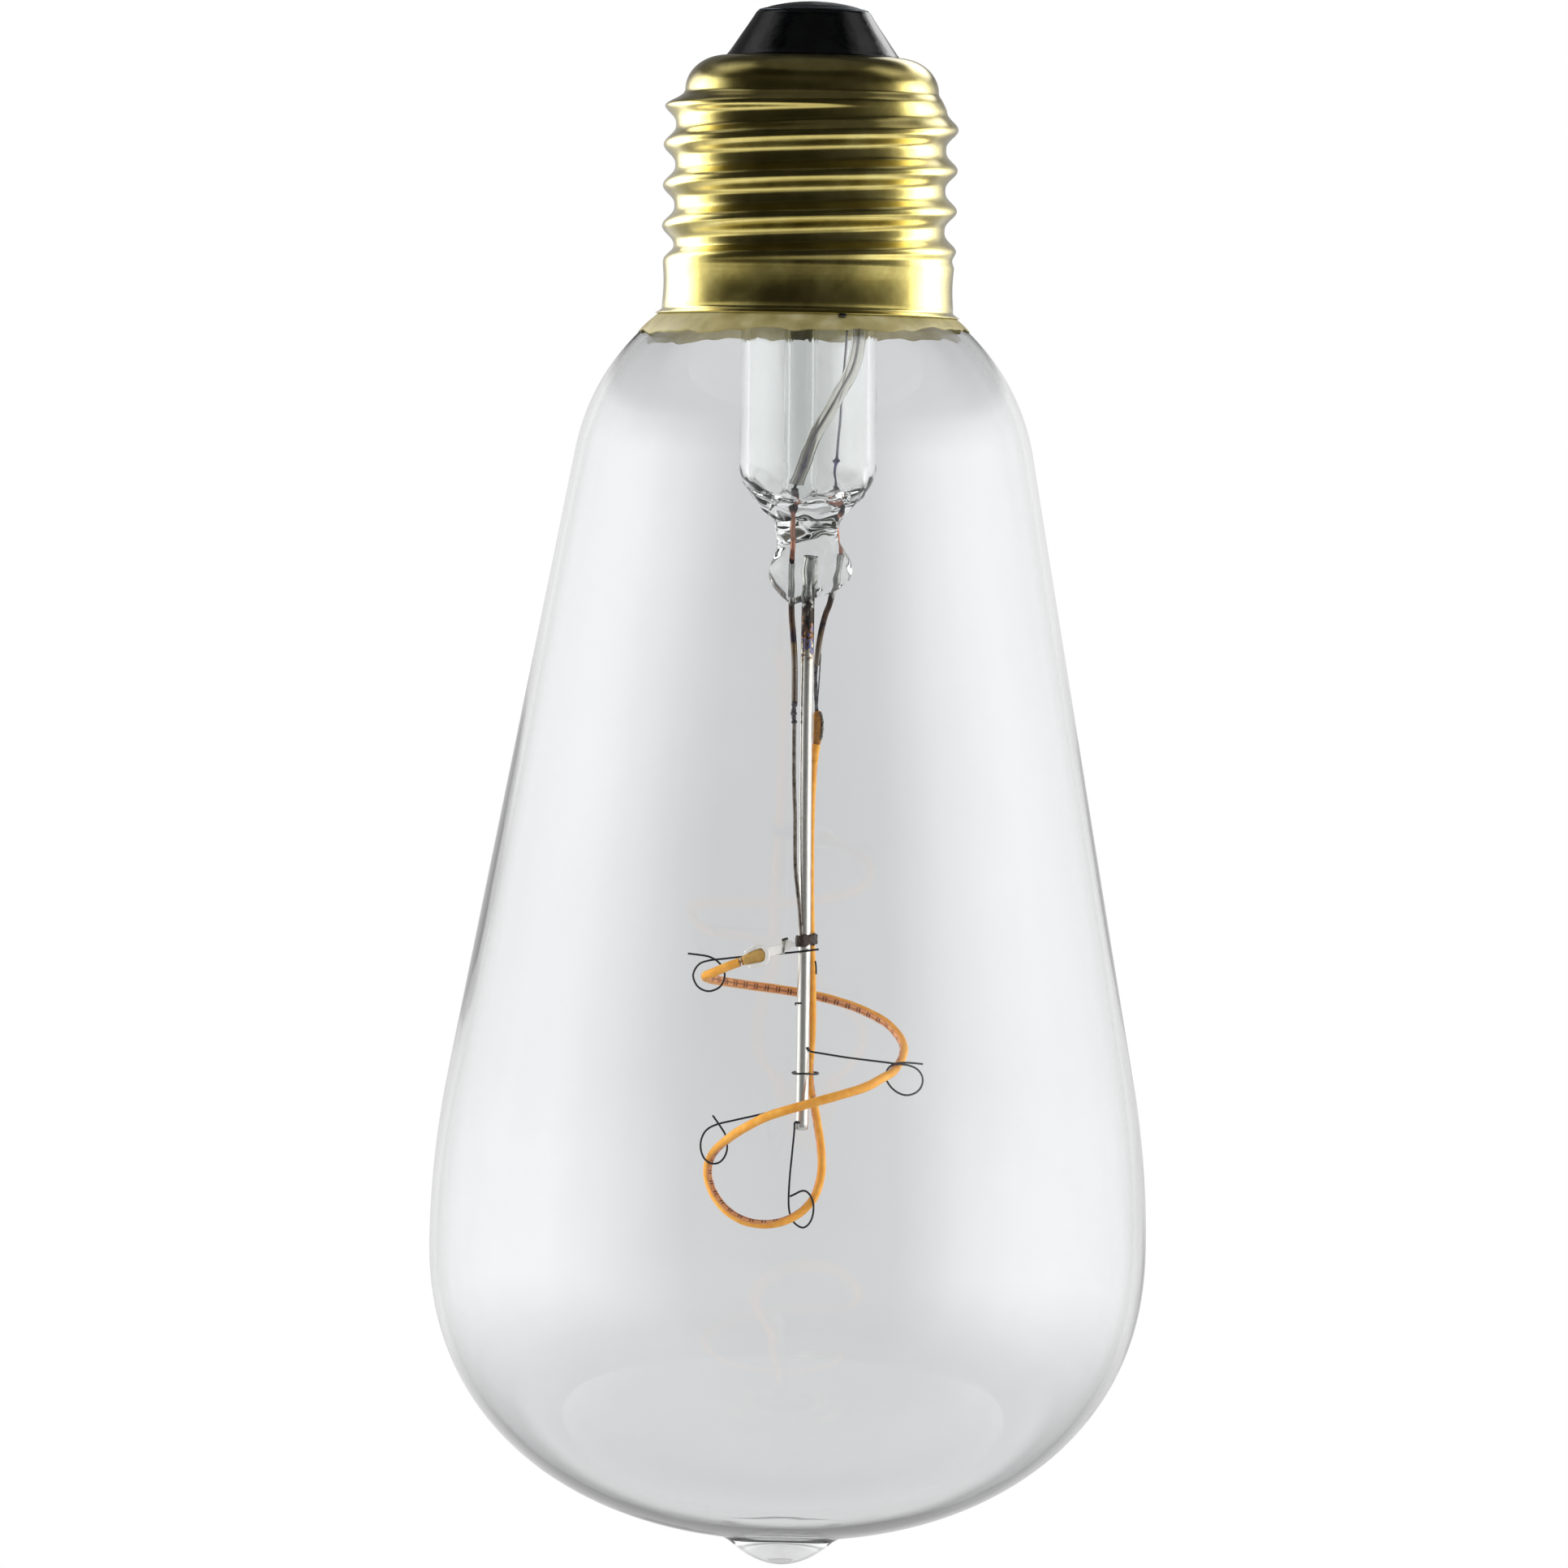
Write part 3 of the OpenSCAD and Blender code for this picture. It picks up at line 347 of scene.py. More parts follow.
# %% The tent
def open_cylinder(name, radius, rows, near, n):
    """Cylinder (R sin a, -R cos a, z) with a = 0 towards the camera, and the glow at each point:
    linear between the angles of a row."""
    a = np.linspace(-np.pi, np.pi, n + 1)
    height = np.array(list(rows))[:, None]
    glow = np.stack([np.interp(np.degrees(a) / near, ROUND, row) for row in rows.values()])
    points = np.stack([radius * np.sin(a) + 0 * height, -radius * np.cos(a) + 0 * height, height + 0 * a], 2)
    i, j = (v.ravel() for v in np.meshgrid(np.arange(len(rows) - 1), np.arange(n), indexing="ij"))
    corner = i * (n + 1) + j
    mesh = bpy.data.meshes.new(name)
    mesh.from_pydata(points.reshape(-1, 3).tolist(), [],
                     np.stack([corner, corner + 1, corner + n + 2, corner + n + 1], 1).tolist())
    return mesh, height, glow


def cloth_finish(name, faded):
    """Emission strength = grey + min(mirrored times, 1) * (glow - grey), times the weave."""
    finish = Finish(name, Roughness=1.0, Base_Color=(0, 0, 0, 1))
    level = finish.tree.nodes.new("ShaderNodeAttribute")
    level.attribute_name = "glow"
    weave = finish.spread(finish.noise(60), 0.97, 1.03)
    finish.to("Emission Color", finish.ramp(weave, (0, (0.97, 0.97, 0.98)), (1, (1, 1, 1))))
    mirrored = finish.tree.nodes.new("ShaderNodeLightPath").outputs["Glossy Depth"]
    above_grey = finish.maths("MULTIPLY", finish.maths("MINIMUM", mirrored, 1.0),
                              finish.maths("SUBTRACT", level.outputs["Fac"], THROUGH_GLASS))
    strength = finish.maths("ADD", above_grey, THROUGH_GLASS)
    finish.to("Emission Strength", finish.maths("MULTIPLY", strength, weave))
    if faded:
        finish.to("Alpha", level.outputs["Alpha"])
    return finish


def tent(name, radius, rows, near=1.0, fade=0.0, n=180):
    """A glowing cylinder round the bulb. near shrinks the table's angles, for one so close that
    its own radius matters. fade is the height over which its lower edge turns solid."""
    mesh, height, glow = open_cylinder(name, radius, rows, near, n)
    cover = np.clip((height - height[0]) / fade, 0, 1) if fade else 1
    layer = mesh.color_attributes.new("glow", "FLOAT_COLOR", "POINT")
    layer.data.foreach_set("color", np.stack([glow, glow, glow, glow * 0 + cover], 2).ravel())
    cloth = stand(name, mesh)
    mesh.materials.append(cloth_finish(name, fade > 0).material)
    cloth.visible_camera = cloth.visible_shadow = cloth.visible_diffuse = False
    print(name, "glows up to", round(float(glow.max()), 2))
    return cloth


tent("tent", TENT_R, TENT)

# %% [markdown]
# ### Cards for the brass
# Rolled brass wants harder contrast than glass. A photographer puts a black card in front of it and
# bright ones beside it; here a ring of cards stands close round the cap. Its lower edge fades out,
# and the light linking at the end of this lesson hides it from the glass.

# %% Ring of cards
cards = tent("cap_cards", 0.033,
             {-0.0295: CARDS, -0.0255: CARDS, -0.008: CARDS, 0.0: shade(CARDS, 0.6, 0.8),
              0.006: BACK_CARD, 0.012: BACK_CARD, 0.018: shade(CARDS, 0.12, 0.8),
              0.05: shade(CARDS, 0.05)}, near=0.95, fade=0.004)
cards.visible_transmission = False

# %% [markdown]
# ### World, lamps and floor
# The world answers each kind of ray in its own way. The camera sees plain white, a ray that is
# mirrored past the tent nearly black, a ray out of the glass something dim, and matt surfaces get
# soft light from all sides. Three lamps add shading and are left out of reflections.

# %% World
def background(tree, colour, strength):
    """Socket of an even light of one colour."""
    made = tree.nodes.new("ShaderNodeBackground")
    made.inputs["Color"].default_value = (*colour, 1)
    made.inputs["Strength"].default_value = strength
    return made.outputs[0]


def studio():
    """White 1.0 for the camera, 0.15 for what comes out of glass, 0.06 for what is mirrored past
    the tent, and 0.55 for everything matt."""
    world = bpy.data.worlds.new("studio")
    bpy.context.scene.world = world
    world.use_nodes = True
    tree = world.node_tree
    tree.nodes.clear()
    rays = tree.nodes.new("ShaderNodeLightPath")
    white = (1, 1, 1)
    answer = background(tree, white, 0.55)
    for ray, colour, strength in (("Is Glossy Ray", white, 0.06),
                                  ("Is Transmission Ray", (0.985, 0.985, 1), 0.15),
                                  ("Is Camera Ray", white, 1.0)):
        choice = tree.nodes.new("ShaderNodeMixShader")
        tree.links.new(rays.outputs[ray], choice.inputs[0])
        tree.links.new(answer, choice.inputs[1])
        tree.links.new(background(tree, colour, strength), choice.inputs[2])
        answer = choice.outputs[0]
    tree.links.new(answer, tree.nodes.new("ShaderNodeOutputWorld").inputs[0])


studio()
print("world", bpy.context.scene.world.name)

# %% [markdown]
# Each lamp is a rectangle of light. Its two angles come from the direction to the bulb's middle:
# how far it is tipped up from looking straight down, and which way it is turned.

# %% Lamps
MIDDLE = (0, 0, -0.07)        # what the lamps are aimed at, in metres


def soft_box(name, at, size, power):
    """An area lamp at `at`, turned towards the bulb's middle. It lights matt surfaces only."""
    lamp = bpy.data.lights.new(name, "AREA")
    lamp.shape = "RECTANGLE"
    lamp.size, lamp.size_y = size
    lamp.energy = power
    made = stand(name, lamp)
    made.location = at
    way = np.array(MIDDLE) - np.array(at, float)
    flat = math.hypot(way[0], way[1])
    made.rotation_euler = (math.atan2(flat, -way[2]), 0, math.atan2(-way[0], way[1]))
    made.visible_glossy = made.visible_transmission = False
    print(name, power, "W")


soft_box("left_box", (-1.0, 0.10, 0.0), (0.75, 1.3), 14)
soft_box("right_box", (1.0, 0.10, 0.0), (0.75, 1.3), 14)
soft_box("front_fill", (0, -1.4, 0.9), (1.2, 0.5), 5)

# %% [markdown]
# The floor is a plain pale sheet far below. A sheet in shade looks grey from above, so a little
# glow that only the camera sees lifts it, and it sends no extra light up into the glass.

# %% Floor
FLOOR_HALF, FLOOR_GREY, FLOOR_GLOW = 3, (0.70, 0.70, 0.71), 0.2


def floor():
    """One flat square sheet at the tent's foot, with a faint mottling: no surface is one dead colour."""
    mesh = bpy.data.meshes.new("floor")
    corners = [(-1, -1), (1, -1), (1, 1), (-1, 1)]
    mesh.from_pydata([(FLOOR_HALF * x, FLOOR_HALF * y, TENT_LOW) for x, y in corners], [], [(0, 1, 2, 3)])
    sheet = stand("floor", mesh)
    paint = Finish("floor", Roughness=0.9, Emission_Color=(1, 1, 1, 1))
    pale = tuple(c * 1.02 for c in FLOOR_GREY)
    paint.to("Base Color", paint.ramp(paint.noise(40, detail=2), (0.4, FLOOR_GREY), (0.6, pale)))
    seen = paint.tree.nodes.new("ShaderNodeLightPath").outputs["Is Camera Ray"]
    paint.to("Emission Strength", paint.maths("MULTIPLY", seen, FLOOR_GLOW))
    mesh.materials.append(paint.material)
    print("floor at", TENT_LOW, "m")


floor()

# %% [markdown]
# ## Brass cap
# The screw shell is one piece of thin brass, rolled so that a rounded crest winds up it: a profile
# turned about the axis, plus a wave of the turn and the height together. The wave is 0.5 + 0.5
# cos(turns up minus turns round), to the power 1.4 so that the crest is narrower than the groove.
# It fades out at both ends, which a Screw modifier would not do.

# %% The thread's wave
SKIRT_R, ROOT_R, BRASS = 13.0, 12.08, 0.4
THREAD_TOP, SKIRT_TOP, RIM_Z = -8.05, -23.65, -28.05
PITCH, CREST, NARROW, START = 3.629, 1.07, 1.4, 152
FADE = 0.45 * PITCH
SHOULDER_R, INSULATOR_R, SHOULDER_H = 11.33, 7.75, 3.1


def eased(t):
    """From 0 to 1 with a level start and end: 3 t squared minus 2 t cubed."""
    return t * t * (3 - 2 * t)


def thread_radius(a, z):
    """Plain radius, which eases into shoulder and skirt, plus the crest's wave."""
    up = eased(np.clip((z - SKIRT_TOP) / FADE, 0, 1))
    down = eased(np.clip((THREAD_TOP - z) / FADE, 0, 1))
    plain = ROOT_R + (1 - up) * (SKIRT_R - ROOT_R) + (1 - down) * (SHOULDER_R - ROOT_R)
    phase = (z - SKIRT_TOP) / PITCH - (np.degrees(a) + START) / 360
    wave = (0.5 + 0.5 * np.cos(2 * np.pi * phase)) ** NARROW
    return plain + CREST * up * down * wave


print("crest radius", ROOT_R + CREST, "mm, pitch", PITCH, "mm")

# %% [markdown]
# The whole shell follows: the round shoulder, the thread, the plain skirt with a slight waist, and
# the rim that flares outwards. The inner wall is the same surface one wall thickness further in,
# so that the rim shows real metal from below.

# %% Screw shell
WAIST, FLARE_OUT, FLARE_DOWN, RIM_ROUND = 0.1, 0.6, 0.45, 0.1


def all_round(profile, n):
    """The same (radius, height) rows at every one of n angles."""
    return np.repeat(np.asarray(profile)[:, None, :], n, 1)


def shell_wall(inward, steps, n):
    """(radius, height) from the insulator to the rim, `inward` millimetres inside the outer wall:
    a quarter oval, the thread, a skirt waisted by a half sine and a flare by a power curve."""
    t = np.linspace(0, np.pi / 2, 20)
    across, high = SHOULDER_R - INSULATOR_R - inward, SHOULDER_H - inward
    shoulder = np.stack([INSULATOR_R + across * np.sin(t), THREAD_TOP + high * np.cos(t)], 1)
    thread_z = np.linspace(THREAD_TOP, SKIRT_TOP, steps)[1:, None] + 0 * around(n)
    thread = np.stack([thread_radius(around(n), thread_z) - inward, thread_z], 2)
    s = np.linspace(0, 1, 26)[1:]
    skirt = np.stack([SKIRT_R - inward - WAIST * np.sin(np.pi * np.clip(s / 0.9, 0, 1)),
                      SKIRT_TOP + (RIM_Z + FLARE_DOWN - SKIRT_TOP) * s], 1)
    f = np.linspace(0, 1, 9)[1:]
    inner_lift = 0.12 * (1 - f) if inward else 0
    flare = np.stack([SKIRT_R - inward + FLARE_OUT * f ** 1.6,
                      RIM_Z + FLARE_DOWN * (1 - f) + inner_lift], 1)
    return np.concatenate([all_round(shoulder, n), thread, all_round(skirt, n), all_round(flare, n)])


def screw_shell(n=256):
    """Outer wall from the shoulder down, three points round the rim's edge, inner wall back up."""
    rim = [[SKIRT_R + FLARE_OUT - BRASS * k, RIM_Z - RIM_ROUND * math.sin(math.pi * k)]
           for k in (0.2, 0.5, 0.8)]
    grid = np.concatenate([shell_wall(0, 150, n), all_round(rim, n), shell_wall(BRASS, 60, n)[::-1]])
    return cylindrical(grid[..., 0], around(n), grid[..., 1])


shell_grid = screw_shell()
print("shell grid", shell_grid.shape)

# %% [markdown]
# Rolled brass is bright but not clean: it has fine scratches round the turns from the rolling,
# short rubs across the shoulder and a darker, browner film where fingers and cutting oil stayed.
# Both kinds of scratches are noise stretched a long way in one direction. They read the UV map, so
# that they follow the surface. A thin coat over the metal is the lacquer.

# %% Brass
brass = Finish("cap_brass", Metallic=1.0, Coat_Weight=0.8, Coat_Roughness=0.12, Coat_IOR=1.6)
tarnish = brass.noise(3.2, detail=6)
smear = brass.noise(0.9, detail=3)
yellow = brass.ramp(tarnish, (0.3, (0.60, 0.49, 0.13)), (0.52, (0.72, 0.60, 0.17)),
                    (0.7, (0.78, 0.68, 0.23)))
brass.to("Base Color", brass.mix(brass.spread(smear, 0, 0.35), yellow, (0.48, 0.36, 0.065)))
brass.to("Roughness", brass.spread(tarnish, 0.16, 0.25))
rolled = brass.noise(0.35, scale=(1.5, 1, 1), detail=5, uv=True)
rubs = brass.noise(0.12, scale=(40, 0.25, 1), detail=4, uv=True)
brass.bump(brass.maths("ADD", brass.maths("MULTIPLY", rolled, 0.7), brass.maths("MULTIPLY", rubs, 0.3)),
           0.012, 0.5)
shell = place(skin("brass_shell", shell_grid, ring=True), brass, "screw_shell", slot="cap_brass")

# %% [markdown]
# ## Insulator
# A cone of black glass, cast in the cap, keeps the end contact away from the shell. It is glossy,
# with faint flow lines and some dust. Its profile is a list of corners with extra points between
# them, and two sines of the turn keep it from being perfectly round.

# %% Black cone
EYELET_R = 1.2
CONE_PROFILE = np.array([
    [EYELET_R, -0.95], [3.0, -0.86], [4.7, -0.84], [4.98, -0.9], [5.14, -1.08], [5.3, -1.35],
    [5.85, -2.2], [6.5, -3.15], [7.1, -4.05], [7.5, -4.62], [7.68, -4.84], [7.74, -4.97],
    [7.74, -5.3], [7.4, -6.4], [4.4, -6.5], [2.8, -3.9], [EYELET_R, -3.55]])


def sampled(points, steps):
    """The same corners, with each straight side cut into `steps` equal lengths."""
    t = np.arange(steps)[None, :, None] / steps
    a, b = points[:-1, None], points[1:, None]
    return np.concatenate([(a + (b - a) * t).reshape(-1, points.shape[1]), points[-1:]])


def cast_waves(a, r, z):
    """A hundredth of a millimetre of unevenness: sin(3 a + z) and sin(7 a)."""
    return 0.012 * np.sin(3 * a + z) + 0.008 * np.sin(7 * a)


cone = skin("black_cone", turned(sampled(CONE_PROFILE, 3), 128, cast_waves), ring=True)
black = Finish("insulator_black", IOR=1.5)
black.to("Base Color", black.ramp(black.noise(1.5), (0.4, (0.0004, 0.0005, 0.0006)),
                                  (0.65, (0.0015, 0.0018, 0.002))))
black.to("Roughness", black.spread(black.noise(0.5, detail=6), 0.06, 0.2, 0.45, 0.7))
black.bump(black.noise(1.1, detail=3), 0.05, 0.6)
place(cone, black, "insulator", slot="cap_glass_black")

# %% [markdown]
# ## End contact
# The contact is a stamped steel plate, slightly domed, with a fine ring pressed into it. Its dome
# is part of a sphere. Its dark blue-grey colour is a painted dark reflection: it stands for the
# dark surroundings that the plate mirrors at a grazing angle. The lead is soldered in the plate's
# eyelet, which leaves a small uneven mound of frosty solder.

# %% Contact and solder
CONTACT_R, CONTACT_H = 4.9, 0.8
DOME_R = (CONTACT_R ** 2 + CONTACT_H ** 2) / (2 * CONTACT_H)
RING_AT, RING_DEEP, RING_WIDE = 4.2, 0.03, 0.18


def plate_profile():
    """Sphere of radius DOME_R with a pressed ring (a bell curve deep), the edge, and the underside."""
    r = np.linspace(EYELET_R, CONTACT_R, 30)
    dome = -DOME_R + np.sqrt(DOME_R ** 2 - r ** 2)
    profile = np.concatenate([
        np.stack([r, dome - RING_DEEP * np.exp(-((r - RING_AT) / RING_WIDE) ** 2)], 1),
        [[CONTACT_R, -0.84], [CONTACT_R - 0.08, -0.86]],
        np.stack([r - 0.1, np.minimum(dome - 0.2, -0.3)], 1)[::-1]])
    profile[:, 0] = np.maximum(profile[:, 0], EYELET_R)
    return profile


def mound(r, n, low, top, uneven):
    """A flat-topped drop: height falls as (share of radius) to the fourth, with a wavy foot."""
    share = np.linspace(0.02, 1, 16)
    s = np.concatenate([share, [1.0, 0.6]])
    z = np.concatenate([top - (top - low) * share ** 4, [low - 0.9, low - 0.9]])
    grid = turned(np.stack([r * s, z], 1), n)
    swell = 1 + uneven * (np.sin(2 * around(n) + 1) + 0.6 * np.sin(5 * around(n))) * s[:, None]
    grid[..., :2] *= swell[..., None]
    return grid


plate = skin("contact_plate", turned(plate_profile(), 128), ring=True)
# Painted dark reflection: the steel's base colour is kept dark for the dark surroundings it mirrors.
steel = mottled("contact_steel", 1.2, [(0.35, (0.10, 0.12, 0.15)), (0.6, (0.20, 0.23, 0.27)),
                                       (0.75, (0.34, 0.36, 0.38))],
                (0.22, 0.42), 0.01, relief=(0.25, 5), Metallic=1.0)
place(plate, steel, "centre_contact", slot="contact_steel")
solder_drop = skin("solder_drop", mound(EYELET_R * 0.97, 64, -0.16, 0.0, 0.012))
solder = mottled("solder", 0.35, two_tones((0.30, 0.31, 0.33), (0.56, 0.57, 0.59)), (0.25, 0.5), 0.03,
                 detail=6, Metallic=1.0)
place(solder_drop, solder, "contact_solder", slot="solder")

# %% [markdown]
# ## Blown glass
# The bulb was blown in a mould and its neck is hidden in the cap. The outline is the CAD's: a
# short fillet, a round shoulder, a long straight cone, the belly and a squarish crown with the
# drop where the glass was parted. The circles have to touch each other and the cone without a
# kink, so their centres are worked out here from the measured sizes instead of being guessed.

# %% Where the outline's circles sit
BULB_R, BELLY_Z, CROWN, POWER = 32.0, -110.9, 26.5, 2.18
CONE, BELLY_ARC, SHOULDER_ARC, GLASS = math.radians(10.3), 82.0, 19.9, 0.9
NECK_R, FILLET, NECK_TOP, SEAT_R = 11.18, 1.2, -14.45, 13.05
DROP_H, DROP_H_INSIDE, DROP_R = 2.15, 0.55, 5.0

cone_way = np.array([math.sin(CONE), -math.cos(CONE)])
cone_in = np.array([-math.cos(CONE), -math.sin(CONE)])
cone_top = np.array([BULB_R, BELLY_Z + BELLY_ARC * math.tan(CONE / 2)])
to_seat = cone_top + SHOULDER_ARC * cone_in - np.array([SEAT_R, RIM_Z])
along = to_seat @ cone_way
slide = -along + math.sqrt(along ** 2 - to_seat @ to_seat + SHOULDER_ARC ** 2)
shoulder_at = cone_top + slide * cone_way + SHOULDER_ARC * cone_in
fillet_x = NECK_R + FILLET
fillet_z = shoulder_at[1] + math.sqrt((SHOULDER_ARC + FILLET) ** 2 - (fillet_x - shoulder_at[0]) ** 2)
meet = math.atan2(fillet_z - shoulder_at[1], fillet_x - shoulder_at[0])
print("shoulder circle at", shoulder_at.round(2), "mm, fillet at", round(fillet_z, 2), "mm")

# %% [markdown]
# The inner surface is the same outline one wall further in. A refracting material needs both
# walls, or the bulb would act as a solid lens. Blown glass is never even, so both walls carry long
# swells of a few hundredths of a millimetre. The outer wall is drawn in by as much, to stay
# inside the CAD.

# %% Glass outline
DRAWN_IN = 0.056


def arc(at, radius, start, end, n):
    """n + 1 points of a circle: centre + radius * (cos, sin) from one angle to the other."""
    t = np.linspace(start, end, n + 1)
    return np.stack([at[0] + radius * np.cos(t), at[1] + radius * np.sin(t)], 1)


def glass_outline(t, drop):
    """Profile (radius, height) of the wall, t millimetres inside the outer surface. The crown is
    an oval whose cos and sin are raised to the power 2 / POWER; a parabola adds the drop."""
    q = (np.pi / 2) * (1 - (1 - np.linspace(0, 1, 70)[1:-1]) ** 1.25)
    crown = np.stack([(BULB_R - t) * np.cos(q) ** (2 / POWER),
                      BELLY_Z - (CROWN - t) * np.sin(q) ** (2 / POWER)], 1)
    crown[:, 1] -= drop * np.maximum(0, 1 - (crown[:, 0] / DROP_R) ** 2)
    neck = [[NECK_R - t, z] for z in np.linspace(NECK_TOP, fillet_z, 12)[:-1]]
    fillet = arc((fillet_x, fillet_z), FILLET + t, np.pi, np.pi + meet, 8)
    shoulder = arc(shoulder_at, SHOULDER_ARC - t, meet, CONE, 40)
    belly = arc((BULB_R - BELLY_ARC, BELLY_Z), BELLY_ARC - t, CONE, 0, 24)
    side = shoulder[-1] + (belly[0] - shoulder[-1]) * np.linspace(0, 1, 40)[1:-1, None]
    return np.concatenate([neck, fillet, shoulder[1:], side, belly, crown])


def swells(a, r, z):
    """Long swells of blown glass: a few sines of the turn and the height, none at the neck."""
    calm = np.clip((-30 - z) / 15, 0, 1) * np.clip(r / 12, 0, 1)
    return calm * (0.030 * np.sin(2 * a + z / 21 + 0.7) + 0.020 * np.sin(3 * a - z / 13)
                   + 0.012 * np.sin(5 * a + z / 9 + 2))


outside = glass_outline(0, DROP_H)
glass_grid = np.concatenate([
    turned(outside[::-1], 192, lambda a, r, z: swells(a, r, z) - DRAWN_IN),
    turned(glass_outline(GLASS, DROP_H_INSIDE), 192, lambda a, r, z: swells(a + 0.6, r, z * 1.07))])
print("glass", round(outside[:, 0].max(), 2), "mm radius, down to", round(outside[:, 1].min(), 2))

# %% [markdown]
# Clear glass is a Principled shader with full transmission and almost no roughness. A trace of
# grey keeps it from vanishing on white, and a very faint bump gives the lines of hot glass. The
# glass pieces cast no shadow: a path tracer finds a small light through a lens only by luck, and
# this way the lamps reach the wires inside.

# %% Clear glass
def clear_glass(name, tint, grain, ior=1.47):
    """Transmission 1, with mottled roughness and a shallow long-wave bump."""
    made = Finish(name, Transmission_Weight=1.0, IOR=ior)
    cloud = made.noise(14, detail=2)
    paler = tuple(min(1, c * 1.012) for c in tint)
    made.to("Base Color", made.ramp(cloud, *two_tones(tint, paler)))
    made.to("Roughness", made.spread(cloud, 0.0, 0.012))
    made.bump(made.noise(grain, scale=(1, 1, 0.35), detail=2), 0.05, 0.4)
    return made


def glass_piece(name, grid, finish, *nodes, slot, ring=False):
    """A placed piece that lets the lamps' light through."""
    piece = place(skin(name, grid, ring=ring), finish, *nodes, slot=slot)
    piece.visible_shadow = False


glass_piece("bulb_glass", glass_grid, clear_glass("clear_glass", (0.955, 0.96, 0.965), 9),
            "glass_envelope", slot="clear_glass")

# %% [markdown]
# ## Glass stem
# Flare and pinch are one piece of softened glass: a wide tube whose end was drawn in and pressed
# flat round the wires. First come the tools: a smooth curve through given points, as a curve object
# would run, but as plain numbers; the lean of whatever belongs to the stem, which was sealed in
# slightly askew; and a way to make a circle squarer.

# %% Curves and lean
STEM_LEAN = math.radians(0.75)


def through(points, steps=24):
    """A smooth curve through all points: a cubic between each pair, whose slope at a point is half
    the step between its two neighbours."""
    p = np.asarray(points, float)
    p = np.concatenate([2 * p[:1] - p[1:2], p, 2 * p[-1:] - p[-2:-1]])
    t = (np.arange(steps) / steps)[None, :, None]
    a, b, c, d = (p[k:len(p) - 3 + k, None] for k in range(4))
    curve = 0.5 * (2 * b + (c - a) * t + (2 * a - 5 * b + 4 * c - d) * t ** 2
                   + (3 * b - a - 3 * c + d) * t ** 3)
    return np.concatenate([curve.reshape(-1, p.shape[1]), p[-2:-1]])


def lean(grid):
    """Turns the points by the stem's lean about the middle of the neck's top."""
    x, z = grid[..., 0], grid[..., 2] - NECK_TOP
    c, s = math.cos(STEM_LEAN), math.sin(STEM_LEAN)
    return np.stack([x * c - z * s, grid[..., 1], x * s + z * c + NECK_TOP], -1)


def squared(v, power):
    """Keeps the sign and raises the size to a power; below 1 it makes a circle squarer."""
    return np.sign(v) * np.abs(v) ** power


print("stem leans", round(math.degrees(STEM_LEAN), 2), "degrees")

# %% [markdown]
# The grid starts at the floor inside the tube, climbs its bore, turns over the lip where the
# flare is fused to the neck, comes down the outside and runs on into the pinch. All bends of
# the profile are quarter ovals. Where the tube was hottest it is a little wavy.

# %% Stem tube
FLARE_R, FLARE_T, FLARE_TOP = 6.1, 0.8, -14.65
TUBE_TOP, TUBE_FOOT, PINCH_TOP = -24.7, -41.5, -46.5


def melted(a, r, z):
    """Sines of the turn and the height that grow towards the pinch and stop at the middle."""
    waves = (0.10 * np.sin(3 * a + 1.7 * z) + 0.07 * np.sin(7 * a - 2.3 * z)
             + 0.05 * np.sin(11 * a + 3.1 * z))
    return np.clip((-40.5 - z) / 3, 0, 1) * waves * np.clip((r - 0.5) / 2, 0, 1)


def upright(radius, low, high):
    """Points of a straight wall between two heights, without its ends."""
    return [[radius, z] for z in np.linspace(low, high, 24)[1:-1]]


def stem_tube(n):
    """Turned profile of floor, bore, lip, outside and drawn-in end; each bend is cos and sin of a
    quarter turn, scaled and sometimes raised to a power."""
    q = np.linspace(0, np.pi / 2, 22)
    opening, dip = 1 - np.sin(q), 1 - np.cos(q)
    lip, bore_r = NECK_R - GLASS, FLARE_R - FLARE_T
    floor_in = np.stack([bore_r * np.cos(q) ** 0.8, -44.8 + 3.6 * opening], 1)[::-1]
    bore = np.stack([bore_r + (lip - FLARE_R) * opening, FLARE_TOP - 10 * dip], 1)[::-1]
    outer = np.stack([FLARE_R + (lip - FLARE_R) * opening, FLARE_TOP - 1 - 9 * dip], 1)
    end = np.stack([2.9 + 3.2 * np.cos(q) ** 2.45, PINCH_TOP + 5 * opening], 1)
    profile = np.concatenate([floor_in[1:], upright(bore_r, -41.2, TUBE_TOP), bore, outer,
                              upright(FLARE_R, TUBE_TOP, TUBE_FOOT), end])
    return lean(turned(profile, n, melted))


tube_grid = stem_tube(96)
print("stem tube", tube_grid.shape)

# %% [markdown]
# In the pinch the round sections become slanted ovals: each lies between a point on the left
# outline and one on the right, and has a depth. The jaws left their marks on the front: a groove
# along the second wire and a crease across the left half. Both are bell curves pressed into the
# surface, and waves of the turn stand for folds in the soft glass.

# %% Pinch
PINCH_LEFT = [(-2.5, -46.7), (-2.35, -47.5), (-2.2, -48.5), (-2.4, -49.4), (-2.75, -50.3),
              (-2.9, -51.2), (-2.65, -52.1), (-1.9, -53.0), (-1.2, -53.6), (-0.6, -53.9)]
PINCH_RIGHT = [(3.3, -46.7), (3.15, -47.3), (3.35, -48.2), (3.9, -49.1), (4.35, -49.9),
               (4.55, -50.8), (4.4, -51.5), (3.9, -52.1), (3.3, -52.55), (2.4, -52.95)]
PINCH_DEEP = [[2.85], [2.2], [1.65], [1.55], [1.7], [1.8], [1.75], [1.5], [1.15], [0.7]]
GROOVE, CREASE, OVAL = 0.55, 0.45, 0.85


